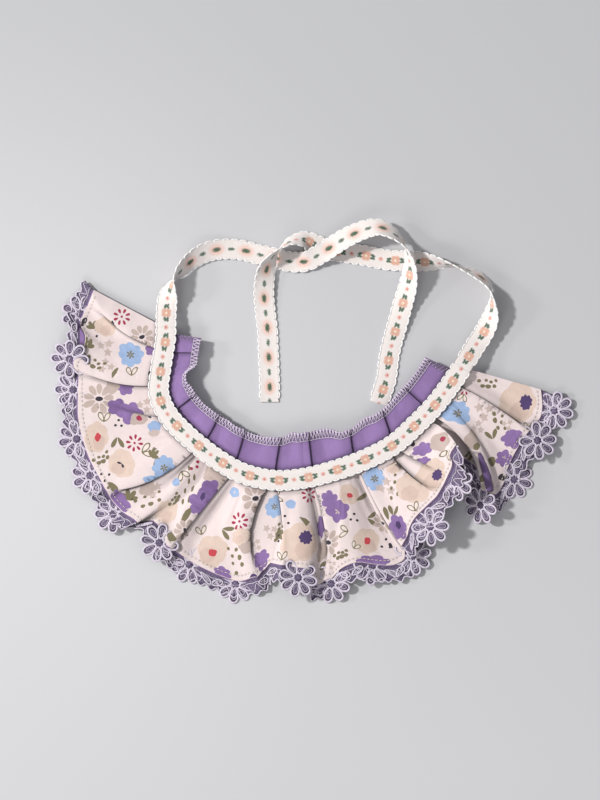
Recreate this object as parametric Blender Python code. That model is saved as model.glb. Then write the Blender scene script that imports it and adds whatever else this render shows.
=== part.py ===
"""A lace bib collar lying flat: a pleated floral ruffle with its purple lining, a daisy lace edge, a purple neck
frill, and a rosebud ribbon that is sewn over the neck seam and runs on as two free ties.

The tables are in millimetres, +X to the right, +Y towards the ties and +Z up from the surface that it lies on.
The cloth is worked out as rows of stations. Each row runs along the garment from its left end to its right end,
and the rows go from the seam to the free edge. Every pleat gives seven or eight stations of a row: round its
crest, which is the fold edge that shows, and round its valley, which lies under it."""

import math
from types import SimpleNamespace

import bpy
import numpy as np

MM = 0.001

# The middle of the whole object's box on the surface, which becomes the origin.
MIDDLE = np.array([-2.15, -0.55, 0.0])

WALL = 1.0
SEAM_GAP = 0.3
RIBBON_WIDTH = 11.5
RIBBON_RIDE = 8.75
TIE_STEP = 5.5
BAND_STEP = 6.0

CREST_RADIUS = 2.0
VALLEY_RADIUS = 0.8
TOP_LEVEL = 7.4
LOW_LEVEL = 1.8
RUFFLE_ROWS = (0.0, 0.12, 0.25, 0.4, 0.55, 0.7, 0.84, 1.0)

FRILL_RADIUS = 0.65
FRILL_TOP = 7.0
FRILL_ROWS = (0.0, 0.35, 0.68, 1.0)

RISE_ROOM = 3.0
FOOT_ROOM = 1.5
FOOT_LEAST = 1.2
OPENING = 4.0
FLATTEST = 1.5
OPEN_CREST = 4.0
OPEN_VALLEY = 1.5
TALL_CREST = 1.5
WAY_STEP = 0.5
HALVINGS = 30
RUFFLE_OFFSET = 0.6
FRILL_OFFSET = 1.0
UNDER_RIBBON = 8.8
STEEPEST = 1.2
MOST_MITRE = 1.4
CATCH = 0.35

LINING_SHOW = 1.2
LACE_NET = 6.0
HEM_BLEND = 3.0
LACE_BLEND = 8.0
LACE_TUCK = 0.2
LACE_GAP = 0.5
CLOSEST = 0.6
LEAST_SPREAD = 0.12
LACE_SLOPE = 3.0
NARROWINGS = 20
NARROWED = 0.9
STEEP = 0.25
LEVEL = 0.7
LACE_END = 5.0
BAR = 0.5
BETWEEN = 0.8
DAISY_RADIUS = 10.5
DAISY_OUT = 2.4
DAISY_SPAN = 150
PETAL_TURNS = ((15, 0.86), (7, 1.0), (-7, 1.0))
INNER_SHARE = 0.85
PETALS = 5
LACE_DROOP = 0.3
LACE_WIDTH = 15.5
LACE_LEVEL = WALL / 2 + SEAM_GAP / 2

PRINT_COLOUR = (0.86, 0.79, 0.77, 1)
PURPLE = (0.28, 0.17, 0.47, 1)
LACE_COLOUR = (0.42, 0.34, 0.55, 1)
RIBBON_COLOUR = (0.89, 0.84, 0.78, 1)


def table(columns, rows):
    """The rows as records with the named columns."""
    names = columns.split()
    return [SimpleNamespace(**dict(zip(names, row))) for row in rows]


SEAM = table(
    "x y",
    [
        (-89.1, 50.1),
        (-89.2, 44.7),
        (-91.8, 27.9),
        (-93.6, 12.3),
        (-91.2, 3.9),
        (-86.1, -4.5),
        (-79.8, -11.1),
        (-72.6, -17.7),
        (-58.5, -28.5),
        (-43.3, -36.9),
        (-24.6, -41.1),
        (-6.6, -39.9),
        (11.0, -35.5),
        (28.6, -29.3),
        (46.4, -20.2),
        (60.4, -7.8),
        (72.3, 4.5),
        (83.4, 19.5),
        (88.2, 26.7),
    ],
)

# Each pleat of the ruffle. side is the layer that lies on top, before or after the fold on the way from left to
# right. seam is the place along the seam. neck_lap and mid_lap are the depths of the overlap at the seam and half
# way down, and below zero they are the width of an open wave. neck_z, mid_z and hem_z are the heights of the
# crest, and neck_low, mid_low and in_z those of the valley. mid, hem and in are the places of the crest half way
# down, of the crest at the hem and of the valley at the hem, and heading is the direction of the hem there in
# degrees. foot is 1 where the layer below rises again.
RUFFLE_FOLDS = table(
    "name side seam neck_lap neck_z neck_low mid_x mid_y mid_lap mid_z mid_low hem_x hem_y hem_z in_x in_y in_z"
    " heading foot",
    [
        ("a", "before", 13.5, -4.0, 4.6, 4.2, -118.2, 50.1, -1.8, 6.4, 2.4, -133.9, 68.4, 5.0,
         -135.4, 65.0, 2.8, 250, 1),
        ("b", "before", 34.5, 8.0, 7.4, 1.8, -114.0, 16.2, 4.5, 7.4, 1.8, -144.0, 26.7, 7.0,
         -141.6, 22.2, 2.2, 280, 0),
        ("c", "after", 56.5, 6.5, 7.4, 1.8, -110.4, -0.9, -1.5, 6.8, 2.2, -141.8, 6.3, 5.0,
         -141.8, 11.1, 3.0, 270, 0),
        ("d", "before", 79.4, 7.5, 7.4, 1.8, -99.0, -41.7, 6.0, 7.2, 1.8, -124.2, -47.7, 6.5,
         -122.2, -51.9, 2.5, 305, 1),
        ("f", "before", 84.2, -4.0, 2.6, 2.2, -88.9, -53.2, -2.8, 5.6, 2.2, -105.9, -66.3, 7.0,
         -104.4, -64.8, 1.8, 316, 1),
        ("e", "before", 105.5, 6.5, 7.4, 1.8, -69.1, -60.7, 6.2, 7.2, 1.8, -86.4, -81.3, 7.2,
         -81.9, -84.3, 2.5, 325, 1),
        ("g", "before", 129.3, 8.0, 7.4, 1.8, -38.4, -71.1, 3.8, 8.2, 1.8, -34.6, -98.9, 5.0,
         -31.4, -94.8, 3.6, 0, 0),
        ("g2", "after", 131.0, 8.0, 7.4, 1.8, -19.8, -62.7, 1.0, 8.5, 3.2, -20.4, -91.4, 10.2,
         -25.8, -90.4, 5.6, -4, 0),
        ("h", "after", 152.8, 8.0, 7.4, 1.8, 6.3, -72.3, 3.0, 7.4, 1.8, 7.6, -100.0, 4.2,
         3.3, -102.9, 2.0, 5, 1),
        ("i", "after", 181.3, 6.0, 7.4, 1.8, 41.4, -63.9, 5.0, 7.8, 1.8, 51.6, -80.1, 8.8,
         56.5, -78.2, 3.0, 60, 1),
        ("j", "before", 200.8, 5.5, 7.4, 1.8, 59.4, -40.5, 2.6, 11.6, 5.0, 73.4, -48.8, 15.5,
         75.6, -45.2, 14.6, 55, 0),
        ("j2", "after", 205.5, 6.0, 7.4, 1.8, 63.0, -30.0, 1.4, 10.8, 4.6, 79.8, -36.2, 17.2,
         78.0, -40.2, 15.8, 64, 0),
        ("k2", "before", 229.3, 7.0, 7.4, 1.8, 77.2, -11.0, 4.0, 12.5, 3.2, 84.0, -19.5, 19.5,
         81.8, -23.0, 5.0, 58, 0),
        ("k", "after", 233.9, 7.0, 7.4, 1.8, 90.6, -20.1, 4.0, 9.5, 2.2, 99.6, -46.5, 8.5,
         104.4, -44.6, 2.4, -20, 0),
        ("m", "before", 257.0, 4.0, 7.4, 1.8, 108.0, 2.7, 5.5, 7.4, 1.8, 127.8, -11.7, 7.0,
         130.9, -8.7, 2.5, 50, 1),
    ],
)

# The cloth between the pleats: after names the pleat on its left, share the place between the two pleats at the
# seam, mid_z the height half way down, and hem the place of the hem. show is how far the lining reaches past it.
RUFFLE_RIBS = table(
    "after share mid_z hem_x hem_y hem_z show",
    [
        ("start", 0.0, 3.8, -132.2, 72.6, 4.2, LINING_SHOW),
        ("a", 0.2, 3.2, -137.6, 60.5, 3.4, LINING_SHOW),
        ("a", 0.4, 3.8, -140.3, 51.5, 5.0, 1.6),
        ("a", 0.6, 4.6, -137.4, 45.5, 7.0, 4.6),
        ("a", 0.8, 5.6, -138.8, 36.8, 7.2, 3.2),
        ("c", 0.2, 5.6, -141.6, -3.3, 5.2, LINING_SHOW),
        ("c", 0.4, 5.2, -139.4, -14.7, 4.0, LINING_SHOW),
        ("c", 0.6, 5.4, -134.6, -29.0, 3.4, LINING_SHOW),
        ("c", 0.8, 6.4, -128.8, -39.5, 5.0, LINING_SHOW),
        ("d", 0.5, 3.6, -115.0, -60.0, 4.0, LINING_SHOW),
        ("f", 0.35, 4.6, -96.6, -65.2, 4.6, LINING_SHOW),
        ("f", 0.7, 6.2, -90.8, -73.2, 6.6, LINING_SHOW),
        ("e", 0.2, 2.4, -75.0, -89.2, 2.2, LINING_SHOW),
        ("e", 0.45, 3.4, -66.0, -94.0, 2.2, LINING_SHOW),
        ("e", 0.7, 5.0, -55.5, -98.6, 2.0, LINING_SHOW),
        ("e", 0.88, 6.2, -45.0, -101.4, 2.2, LINING_SHOW),
        ("g2", 0.35, 10.0, -11.4, -92.8, 11.0, LINING_SHOW),
        ("g2", 0.65, 8.6, -4.2, -93.8, 10.2, LINING_SHOW),
        ("g2", 0.88, 4.2, -1.2, -98.6, 5.6, LINING_SHOW),
        ("h", 0.22, 8.2, 15.2, -94.0, 6.2, LINING_SHOW),
        ("h", 0.42, 7.6, 24.6, -89.9, 7.8, LINING_SHOW),
        ("h", 0.62, 6.0, 35.5, -91.2, 5.4, LINING_SHOW),
        ("h", 0.82, 3.6, 46.4, -91.8, 4.0, LINING_SHOW),
        ("h", 0.94, 2.6, 53.4, -88.0, 3.4, LINING_SHOW),
        ("i", 0.3, 9.0, 56.2, -69.5, 10.4, LINING_SHOW),
        ("i", 0.55, 9.8, 59.4, -63.4, 12.0, LINING_SHOW),
        ("i", 0.8, 10.4, 66.2, -56.4, 14.0, LINING_SHOW),
        ("j2", 0.5, 12.5, 81.6, -30.2, 18.6, LINING_SHOW),
        ("k2", 0.4, 3.4, 87.4, -26.6, 3.8, LINING_SHOW),
        ("k2", 0.75, 2.4, 96.4, -32.8, 2.5, LINING_SHOW),
        ("k", 0.2, 7.4, 108.8, -48.9, 4.4, LINING_SHOW),
        ("k", 0.4, 7.0, 112.8, -43.0, 3.4, LINING_SHOW),
        ("k", 0.6, 6.6, 115.2, -34.0, 3.2, LINING_SHOW),
        ("k", 0.8, 6.8, 119.8, -24.1, 5.0, LINING_SHOW),
        ("m", 0.4, 2.6, 134.8, -3.4, 3.0, LINING_SHOW),
        ("m", 0.75, 3.2, 136.0, 3.6, 3.4, LINING_SHOW),
        ("m", 1.0, 3.6, 135.1, 13.3, 3.8, LINING_SHOW),
    ],
)

# The same columns for the pleats of the neck frill, and for the cloth between them.
FRILL_FOLDS = table(
    "name side seam neck_lap neck_z neck_low mid_x mid_y mid_lap mid_z mid_low hem_x hem_y hem_z in_x in_y in_z"
    " heading foot",
    [
        ("p1", "before", 14.6, 2.4, 7.0, 4.4, -79.6, 35.6, 1.8, 7.6, 5.0, -69.7, 35.2, 8.6,
         -69.8, 36.4, 6.0, 262, 1),
        ("p2", "before", 53.0, 3.4, 7.0, 4.4, -78.4, 5.2, 3.0, 7.8, 5.0, -71.8, 11.0, 10.0,
         -72.8, 13.6, 6.0, 300, 1),
        ("p3", "before", 80.6, 3.4, 7.0, 4.4, -61.4, -9.6, 3.0, 7.8, 4.6, -58.0, -2.0, 8.6,
         -60.2, -0.2, 5.4, 322, 1),
        ("p4", "before", 103.5, 3.4, 7.0, 4.4, -44.6, -19.6, 3.0, 7.8, 4.6, -42.6, -10.8, 8.6,
         -45.2, -9.8, 5.4, 336, 1),
        ("p5", "before", 129.9, 3.4, 7.0, 4.4, -22.6, -24.4, 3.0, 7.8, 4.6, -20.8, -15.4, 8.6,
         -23.6, -15.4, 5.4, 0, 1),
        ("p6", "before", 153.5, 3.4, 7.0, 4.4, -3.4, -22.6, 3.0, 7.8, 4.6, -4.6, -12.2, 8.6,
         -7.4, -12.8, 5.4, 8, 1),
        ("p7", "before", 179.8, 3.4, 7.0, 4.4, 21.4, -18.6, 3.0, 7.8, 4.6, 20.4, -10.6, 8.6,
         17.6, -11.6, 5.4, 18, 1),
        ("p8", "before", 205.5, 3.4, 7.0, 4.4, 42.6, -7.8, 3.0, 7.8, 4.6, 39.6, 0.6, 8.6,
         37.2, -0.8, 5.4, 32, 1),
        ("p9", "before", 235.3, 3.4, 7.0, 4.4, 58.4, 9.0, 3.0, 7.8, 4.6, 52.8, 14.4, 8.8,
         50.8, 12.2, 5.6, 46, 1),
    ],
)

FRILL_RIBS = table(
    "after share mid_z hem_x hem_y hem_z show",
    [
        ("start", 0.0, 6.6, -68.0, 43.9, 8.0, 0),
        ("start", 0.5, 6.8, -68.9, 40.6, 8.0, 0),
        ("p1", 0.3, 6.6, -70.9, 27.6, 8.2, 0),
        ("p1", 0.55, 7.6, -77.0, 22.6, 10.6, 0),
        ("p1", 0.8, 7.8, -76.4, 17.2, 11.0, 0),
        ("p2", 0.5, 6.2, -66.6, 4.8, 7.4, 0),
        ("p3", 0.5, 6.2, -52.0, -5.2, 7.0, 0),
        ("p4", 0.25, 5.6, -38.6, -13.0, 6.4, 0),
        ("p4", 0.65, 6.4, -30.0, -15.2, 7.4, 0),
        ("p5", 0.5, 6.2, -13.6, -12.4, 7.0, 0),
        ("p6", 0.25, 5.6, -0.4, -11.4, 6.4, 0),
        ("p6", 0.65, 6.4, 9.4, -10.4, 7.4, 0),
        ("p7", 0.5, 6.2, 30.0, -3.6, 7.0, 0),
        ("p8", 0.5, 6.2, 46.4, 7.4, 7.0, 0),
        ("p9", 0.4, 6.6, 60.2, 23.4, 7.8, 0),
        ("p9", 1.0, 7.0, 66.2, 32.4, 8.4, 0),
    ],
)

FRILL_START = 3.0
FRILL_END = 264.0

# Where the middle of each daisy lies.
DAISIES = table(
    "x y",
    [
        (-140.6, 58.5),
        (-146.8, 31.5),
        (-144.8, 13.0),
        (-142.6, -16.5),
        (-134.6, -38.4),
        (-120.8, -61.5),
        (-93.0, -78.6),
        (-75.2, -91.8),
        (-47.6, -103.6),
        (-10.0, -99.4),
        (9.8, -103.2),
        (34.4, -92.6),
        (58.4, -86.8),
        (69.0, -68.8),
        (83.6, -42.0),
        (99.2, -56.0),
        (119.6, -40.8),
        (133.4, -17.4),
        (143.6, 0.6),
    ],
)

# The free ends. roll is the turn about the ribbon's length in degrees: 0 shows its face and 180 its back.
LEFT_TIE = table(
    "x y z roll",
    [
        (-89.1, 50.4, 8.75, 0),
        (-89.0, 59.7, 6.6, 0),
        (-88.2, 68.1, 5.6, 15),
        (-86.0, 74.7, 6.6, 60),
        (-84.0, 79.8, 7.4, 95),
        (-81.4, 83.1, 7.0, 118),
        (-76.4, 88.2, 5.2, 138),
        (-69.6, 93.3, 3.6, 155),
        (-61.2, 96.6, 2.2, 168),
        (-52.0, 97.5, 1.2, 178),
        (-42.7, 96.6, 0.8, 180),
        (-33.5, 94.1, 0.6, 180),
        (-26.8, 92.7, 0.6, 180),
        (-15.8, 90.0, 0.8, 180),
        (-9.5, 89.6, 1.4, 180),
        (-4.0, 90.4, 3.4, 164),
        (3.0, 94.4, 5.6, 172),
        (9.0, 98.1, 6.8, 192),
        (20.0, 104.7, 9.5, 198),
        (31.4, 109.3, 11.2, 206),
        (38.3, 110.2, 11.8, 216),
        (46.7, 106.3, 12.0, 236),
        (52.8, 100.1, 11.6, 262),
        (55.9, 93.3, 10.8, 284),
        (57.0, 85.6, 8.8, 308),
        (55.6, 74.9, 5.2, 334),
        (52.8, 64.9, 3.0, 348),
        (49.8, 53.5, 1.8, 356),
        (46.7, 42.7, 1.0, 360),
        (44.4, 32.1, 0.6, 360),
        (42.9, 19.7, 0.6, 360),
        (40.6, 12.1, 0.6, 360),
        (38.2, 4.8, 0.6, 360),
    ],
)

RIGHT_TIE = table(
    "x y z roll",
    [
        (88.4, 27.0, 8.75, 0),
        (95.7, 38.9, 6.0, 0),
        (100.3, 45.8, 4.8, 8),
        (104.9, 55.7, 5.0, 34),
        (106.1, 65.7, 6.6, 76),
        (104.9, 73.3, 7.0, 100),
        (100.3, 79.5, 6.6, 114),
        (92.6, 84.1, 6.4, 110),
        (81.2, 87.9, 5.8, 84),
        (69.7, 89.4, 3.6, 40),
        (58.2, 90.2, 1.4, 8),
        (42.9, 90.9, 0.7, 0),
        (31.4, 93.3, 0.6, 0),
        (16.8, 95.5, 0.6, 0),
        (6.2, 97.8, 0.6, 0),
        (0.0, 100.2, 0.7, -2),
        (-4.5, 102.2, 2.1, -18),
        (-9.0, 102.9, 4.8, -46),
        (-14.0, 102.0, 6.2, -62),
        (-19.2, 98.5, 7.6, -82),
        (-24.2, 94.1, 8.4, -104),
        (-28.4, 87.3, 6.6, -138),
        (-30.1, 79.8, 4.2, -162),
        (-30.6, 69.7, 2.2, -176),
        (-29.7, 59.6, 1.0, -180),
        (-28.4, 48.7, 0.6, -180),
        (-28.0, 38.5, 0.6, -180),
        (-27.6, 29.3, 0.6, -180),
        (-27.2, 18.3, 0.6, -180),
        (-27.2, 5.6, 0.6, -180),
    ],
)


def catmull(points, per_span):
    """A smooth line through the points, with per_span stretches between each two of them."""
    points = np.asarray(points, float)
    padded = np.vstack([2 * points[0] - points[1], points, 2 * points[-1] - points[-2]])
    spans = np.sqrt(np.linalg.norm(np.diff(padded, axis=0), axis=1))
    knots = np.concatenate([[0.0], np.cumsum(np.maximum(spans, 1e-6))])
    line = [points[0]]
    for i in range(len(points) - 1):
        p0, p1, p2, p3 = padded[i : i + 4]
        t0, t1, t2, t3 = knots[i : i + 4]
        for step in range(1, per_span + 1):
            t = t1 + (t2 - t1) * step / per_span
            a1 = ((t1 - t) * p0 + (t - t0) * p1) / (t1 - t0)
            a2 = ((t2 - t) * p1 + (t - t1) * p2) / (t2 - t1)
            a3 = ((t3 - t) * p2 + (t - t2) * p3) / (t3 - t2)
            b1 = ((t2 - t) * a1 + (t - t0) * a2) / (t2 - t0)
            b2 = ((t3 - t) * a2 + (t - t1) * a3) / (t3 - t1)
            line.append(((t2 - t) * b1 + (t - t1) * b2) / (t2 - t1))
    return np.array(line)


class Path:
    """A line that is read by the distance along it. Past its ends it goes straight on."""

    def __init__(self, line, closeness=8):
        self.line = catmull(line, closeness)
        steps = np.linalg.norm(np.diff(self.line, axis=0), axis=1)
        self.reach = np.concatenate([[0.0], np.cumsum(steps)])
        self.length = self.reach[-1]

    def at(self, s):
        inside = min(max(s, 0.0), self.length)
        place = np.array([np.interp(inside, self.reach, axis) for axis in self.line.T])
        return place + (s - inside) * self.along(inside)

    def along(self, s):
        low = min(max(s - WAY_STEP, 0.0), self.length - 2 * WAY_STEP)
        marks = (low, low + 2 * WAY_STEP)
        ends = [[np.interp(mark, self.reach, axis) for axis in self.line.T] for mark in marks]
        way = np.subtract(ends[1], ends[0])
        return way / np.linalg.norm(way)


def right_of(way):
    """The level direction to the right of a way, which is away from the neck along the seam."""
    flat = np.array([way[1], -way[0], 0.0])
    return flat / np.linalg.norm(flat)


def level(angle):
    return np.array([math.cos(math.radians(angle)), math.sin(math.radians(angle)), 0.0])


def unit(vector):
    return vector / np.linalg.norm(vector)


def smoothstep(x):
    x = min(max(x, 0.0), 1.0)
    return x * x * (3 - 2 * x)


def through(first, middle, last, at, v):
    """The parabola that is first at 0, middle at the given place and last at 1."""
    first_part = (v - at) * (v - 1) / at
    middle_part = v * (v - 1) / (at * (at - 1))
    last_part = v * (v - at) / (1 - at)
    return first * first_part + middle * middle_part + last * last_part


def wall_turn(lap, height, both, share):
    """How far the cloth between crest and valley is turned down: a right angle stands upright, and two lie flat
    under the crest. Both bends are round, and both is the sum of their radii."""
    low, high = (0.0, math.pi / 2) if lap < 0 else (math.pi / 2, math.pi / 2 + math.acos(1 - share))
    for _ in range(HALVINGS):
        turn = (low + high) / 2
        down, along = math.sin(turn), math.cos(turn)
        if lap < 0:
            more = -lap * down < (height - both * (1 - along)) * along
        else:
            more = lap * down + height * along > both * (down + along - 1)
        low, high = (turn, high) if more else (low, turn)
    return (low + high) / 2


class Cloth:
    """A pleated strip: it holds the pleats and the ribs between them, and gives the stations of any row.
    side is 1 where the strip lies right of the seam's way and -1 where it lies left of it."""

    def __init__(self, seam, side, offset, folds, ribs, ends, radii, ride):
        self.seam = seam
        self.side = side
        self.offset = offset
        self.folds = folds
        self.start, self.end = ends
        self.crest_radius, self.valley_radius = radii
        self.ride = ride
        self.ribs = {}
        for rib in ribs:
            self.ribs.setdefault(rib.after, []).append(rib)

    def seam_point(self, s):
        point = self.seam.at(s)
        return point + self.side * self.offset * right_of(self.seam.along(s))

    def fold_line(self, fold):
        first = self.seam_point(fold.seam)
        middle = np.array([fold.mid_x, fold.mid_y, 0.0])
        last = np.array([fold.hem_x, fold.hem_y, 0.0])
        near = np.linalg.norm(middle - first)
        far = np.linalg.norm(last - middle)
        return first, middle, last, near / (near + far)

    def under_ribbon(self, z, place):
        """The height, kept under the ribbon near the seam."""
        away = np.hypot(self.seam.line[:, 0] - place[0], self.seam.line[:, 1] - place[1]).min()
        return min(z, self.ride + max(0.0, away - UNDER_RIBBON) * STEEPEST)

    def section(self, lap, top, low):
        """The stations of one pleat cut straight across: (place along the way from the crest, height)."""
        shut = smoothstep(lap / OPENING + 1)
        tall = max(top - low - 2 * (self.crest_radius + self.valley_radius), 0.0)
        crest_radius = self.crest_radius + (1 - shut) * OPEN_CREST + min(tall / 4, TALL_CREST)
        valley_radius = self.valley_radius + (1 - shut) * OPEN_VALLEY
        both = crest_radius + valley_radius
        share = min(max(lap / both, 0.0), 1.0)
        least = both * (1 + math.sqrt(2 * share - share * share)) if lap >= 0 else both * shut
        low = max(min(low, top - least), LOW_LEVEL)
        height = max(top - low, least, FLATTEST)
        turn = wall_turn(lap, height, both, share)
        reach = math.sin(min(turn, math.pi / 2))
        crest = -crest_radius * reach
        valley = -lap + valley_radius * reach
        top = low + height
        arc = [(math.sin(angle), math.cos(angle)) for angle in (0.0, turn / 2, turn)]
        stations = [(min(crest - FOOT_ROOM, shut * -(lap + RISE_ROOM)), top)]
        stations += [(crest + crest_radius * x, top - crest_radius * (1 - z)) for x, z in arc]
        stations += [(valley - valley_radius * x, low + valley_radius * (1 - z)) for x, z in arc[::-1]]
        stations.append((max(valley + FOOT_LEAST, shut * FOOT_ROOM), low))
        return stations

    def fold_stations(self, fold, v):
        """The stations round one pleat in the row at v, from left to right."""
        first, middle, last, at = self.fold_line(fold)
        sign = 1 if fold.side == "before" else -1
        seam_way = self.seam.along(fold.seam)
        hem_way = level(fold.heading)
        mid_way = unit(seam_way + hem_way)
        way = sign * unit(through(seam_way, mid_way, hem_way, at, v))
        crest = through(first, middle, last, at, v)
        valley = through(
            first - fold.neck_lap * sign * seam_way,
            middle - fold.mid_lap * sign * mid_way,
            np.array([fold.in_x, fold.in_y, 0.0]),
            at,
            v,
        )
        lap = np.dot(crest - valley, way)
        top = self.under_ribbon(through(fold.neck_z, fold.mid_z, fold.hem_z, at, v), crest)
        low = max(through(fold.neck_low, fold.mid_low, fold.in_z, at, v), LOW_LEVEL)
        stations = []
        for i, (x, z) in enumerate(self.section(lap, top, low)):
            place = crest + x * way if i < 4 else valley + (x + lap) * way
            bend = self.seam_point(fold.seam + sign * x) - (first + sign * x * seam_way)
            place = place + bend * (1 - v) ** 2
            stations.append(np.array([place[0], place[1], self.under_ribbon(z, place)]))
        if not fold.foot:
            stations.pop()
        return stations if sign > 0 else stations[::-1]

    def rib_stations(self, before, after, v):
        """The stations between two pleats, either of which may be missing at an end of the strip."""
        ribs = self.ribs.get(before.name if before else "start", [])
        left = self.fold_stations(before, v)[-1] if before else self.end_place(ribs[0], self.start, v)
        right = self.fold_stations(after, v)[0] if after else self.end_place(ribs[-1], self.end, v)
        left_hem = self.fold_stations(before, 1.0)[-1] if before else self.end_place(ribs[0], self.start, 1.0)
        right_hem = self.fold_stations(after, 1.0)[0] if after else self.end_place(ribs[-1], self.end, 1.0)
        left_z = self.edge_level(before, 1) if before else self.edge_level(after, 0)
        right_z = self.edge_level(after, 0) if after else left_z
        stations = []
        for rib in ribs:
            hem = np.array([rib.hem_x, rib.hem_y, rib.hem_z])
            off = hem - left_hem - (right_hem - left_hem) * rib.share
            place = left + (right - left) * rib.share + off * v * v
            neck_z = left_z + (right_z - left_z) * smoothstep(rib.share)
            height = self.under_ribbon(through(neck_z, rib.mid_z, rib.hem_z, 0.5, v), place)
            place[2] = max(height, LOW_LEVEL)
            stations.append(place)
        return stations

    def end_place(self, rib, s, v):
        return self.seam_point(s) * (1 - v) + np.array([rib.hem_x, rib.hem_y, rib.hem_z]) * v

    def edge_level(self, fold, last):
        """The height at the seam of a pleat's first or last station."""
        on_top = (fold.side == "before") != bool(last)
        return fold.neck_z if on_top else fold.neck_low

    def row(self, v):
        stations = self.rib_stations(None, self.folds[0], v)
        for i, fold in enumerate(self.folds):
            after = self.folds[i + 1] if i + 1 < len(self.folds) else None
            stations += self.fold_stations(fold, v)
            stations += self.rib_stations(fold, after, v)
        return np.array(stations)

    def shows(self):
        """How far the lining reaches past the print's hem at each station."""
        reach = [rib.show for rib in self.ribs["start"]]
        for fold in self.folds:
            reach += [LINING_SHOW] * len(self.fold_stations(fold, 1.0))
            reach += [rib.show for rib in self.ribs.get(fold.name, [])]
        return np.array(reach)


def normals_of(grid):
    """The mitred normals of a grid of points: moving out by them keeps the wall's thickness round a bend."""
    across = grid[1:, 1:] - grid[:-1, :-1]
    back = grid[1:, :-1] - grid[:-1, 1:]
    faces = np.cross(back, across)
    faces /= np.maximum(np.linalg.norm(faces, axis=2, keepdims=True), 1e-9)
    total = np.zeros_like(grid)
    for rows, columns in ((slice(1, None), slice(1, None)), (slice(1, None), slice(0, -1))):
        total[rows, columns] += faces
    for rows, columns in ((slice(0, -1), slice(1, None)), (slice(0, -1), slice(0, -1))):
        total[rows, columns] += faces
    count = np.zeros(grid.shape[:2])
    count[1:, 1:] += 1
    count[1:, :-1] += 1
    count[:-1, 1:] += 1
    count[:-1, :-1] += 1
    size = np.linalg.norm(total, axis=2)
    stretch = np.clip(count / np.maximum(size, 1e-9), 1.0, MOST_MITRE)
    return total / np.maximum(size, 1e-9)[:, :, None] * stretch[:, :, None]


def wall_mesh(name, upper, lower, grid=None):
    """A closed wall between two grids of points that have the same shape. Each square is cut along the shorter
    diagonal of the grid that both faces follow, so that walls on the same grid keep their distance."""
    rows, columns = upper.shape[:2]
    points = np.concatenate([upper.reshape(-1, 3), lower.reshape(-1, 3)])
    below = rows * columns
    grid = upper + lower if grid is None else grid
    falling = np.linalg.norm(grid[1:, 1:] - grid[:-1, :-1], axis=2)
    rising = np.linalg.norm(grid[1:, :-1] - grid[:-1, 1:], axis=2)

    def at(r, c):
        return r * columns + c

    faces = []
    for r in range(rows - 1):
        for c in range(columns - 1):
            corners = [at(r, c), at(r + 1, c), at(r + 1, c + 1), at(r, c + 1)]
            turn = 0 if falling[r, c] < rising[r, c] else 1
            corners = corners[turn:] + corners[:turn]
            for face in (corners[:3], [corners[0], corners[2], corners[3]]):
                faces.append(face)
                faces.append([below + corner for corner in reversed(face)])
    rim = [at(0, c) for c in range(columns)]
    rim += [at(r, columns - 1) for r in range(1, rows)]
    rim += [at(rows - 1, c) for c in range(columns - 2, -1, -1)]
    rim += [at(r, 0) for r in range(rows - 2, 0, -1)]
    for i, first in enumerate(rim):
        second = rim[(i + 1) % len(rim)]
        faces.append([first, second, below + second, below + first])
    mesh = bpy.data.meshes.new(name)
    mesh.from_pydata(((points - MIDDLE) * MM).tolist(), [], faces)
    if volume_of(points, faces) < 0:
        mesh.flip_normals()
    return mesh


def volume_of(points, faces):
    total = 0.0
    for face in faces:
        for i in range(1, len(face) - 1):
            total += np.dot(points[face[0]], np.cross(points[face[i]], points[face[i + 1]]))
    return total


def material(name, colour, roughness):
    made = bpy.data.materials.new(name)
    made.use_nodes = True
    shader = made.node_tree.nodes["Principled BSDF"]
    shader.inputs["Base Color"].default_value = colour
    shader.inputs["Roughness"].default_value = roughness
    shader.inputs["Metallic"].default_value = 0.0
    return made


def add(mesh, finish):
    mesh.materials.append(finish)
    piece = bpy.data.objects.new(mesh.name, mesh)
    bpy.context.scene.collection.objects.link(piece)
    return piece


def settle(points, floor=0.0, catch=CATCH):
    """Points that nearly touch the surface below lie on it, so that the underside rests flat."""
    points = points.copy()
    points[..., 2] = np.where(points[..., 2] < floor + catch, floor, points[..., 2])
    return points


def ruffle_cloth(seam):
    ends = (0.0, seam.length)
    radii = (CREST_RADIUS, VALLEY_RADIUS)
    return Cloth(seam, 1, RUFFLE_OFFSET, RUFFLE_FOLDS, RUFFLE_RIBS, ends, radii, TOP_LEVEL)


def frill_cloth(seam):
    ends = (FRILL_START, FRILL_END)
    radii = (FRILL_RADIUS, FRILL_RADIUS)
    return Cloth(seam, -1, FRILL_OFFSET, FRILL_FOLDS, FRILL_RIBS, ends, radii, FRILL_TOP)


def add_print(grid):
    normals = normals_of(grid)
    half = WALL / 2
    mesh = wall_mesh("print_ruffle", grid + normals * half, grid - normals * half, grid)
    add(mesh, material("floral cotton", PRINT_COLOUR, 0.85))


def along_line(line):
    """How far along the line each of its points lies."""
    return np.concatenate([[0.0], np.cumsum(np.linalg.norm(np.diff(line, axis=0), axis=1))])


def blended(values, reach, width):
    """The directions, each blended with those within about width along the line."""
    weights = np.exp(-(((reach[:, None] - reach[None, :]) / width) ** 2)) * np.gradient(reach)
    found = weights @ values
    return found / np.linalg.norm(found, axis=1, keepdims=True)


def lengthened(cloth, grid):
    """The print's own points, and one row more as far past its hem as the lining reaches."""
    way = blended(grid[-1] - grid[-2], along_line(grid[-1]), HEM_BLEND)
    edge = grid[-1] + way * cloth.shows()[:, None]
    edge[:, 2] = np.maximum(edge[:, 2], LOW_LEVEL)
    return np.concatenate([grid, edge[None]])


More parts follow.
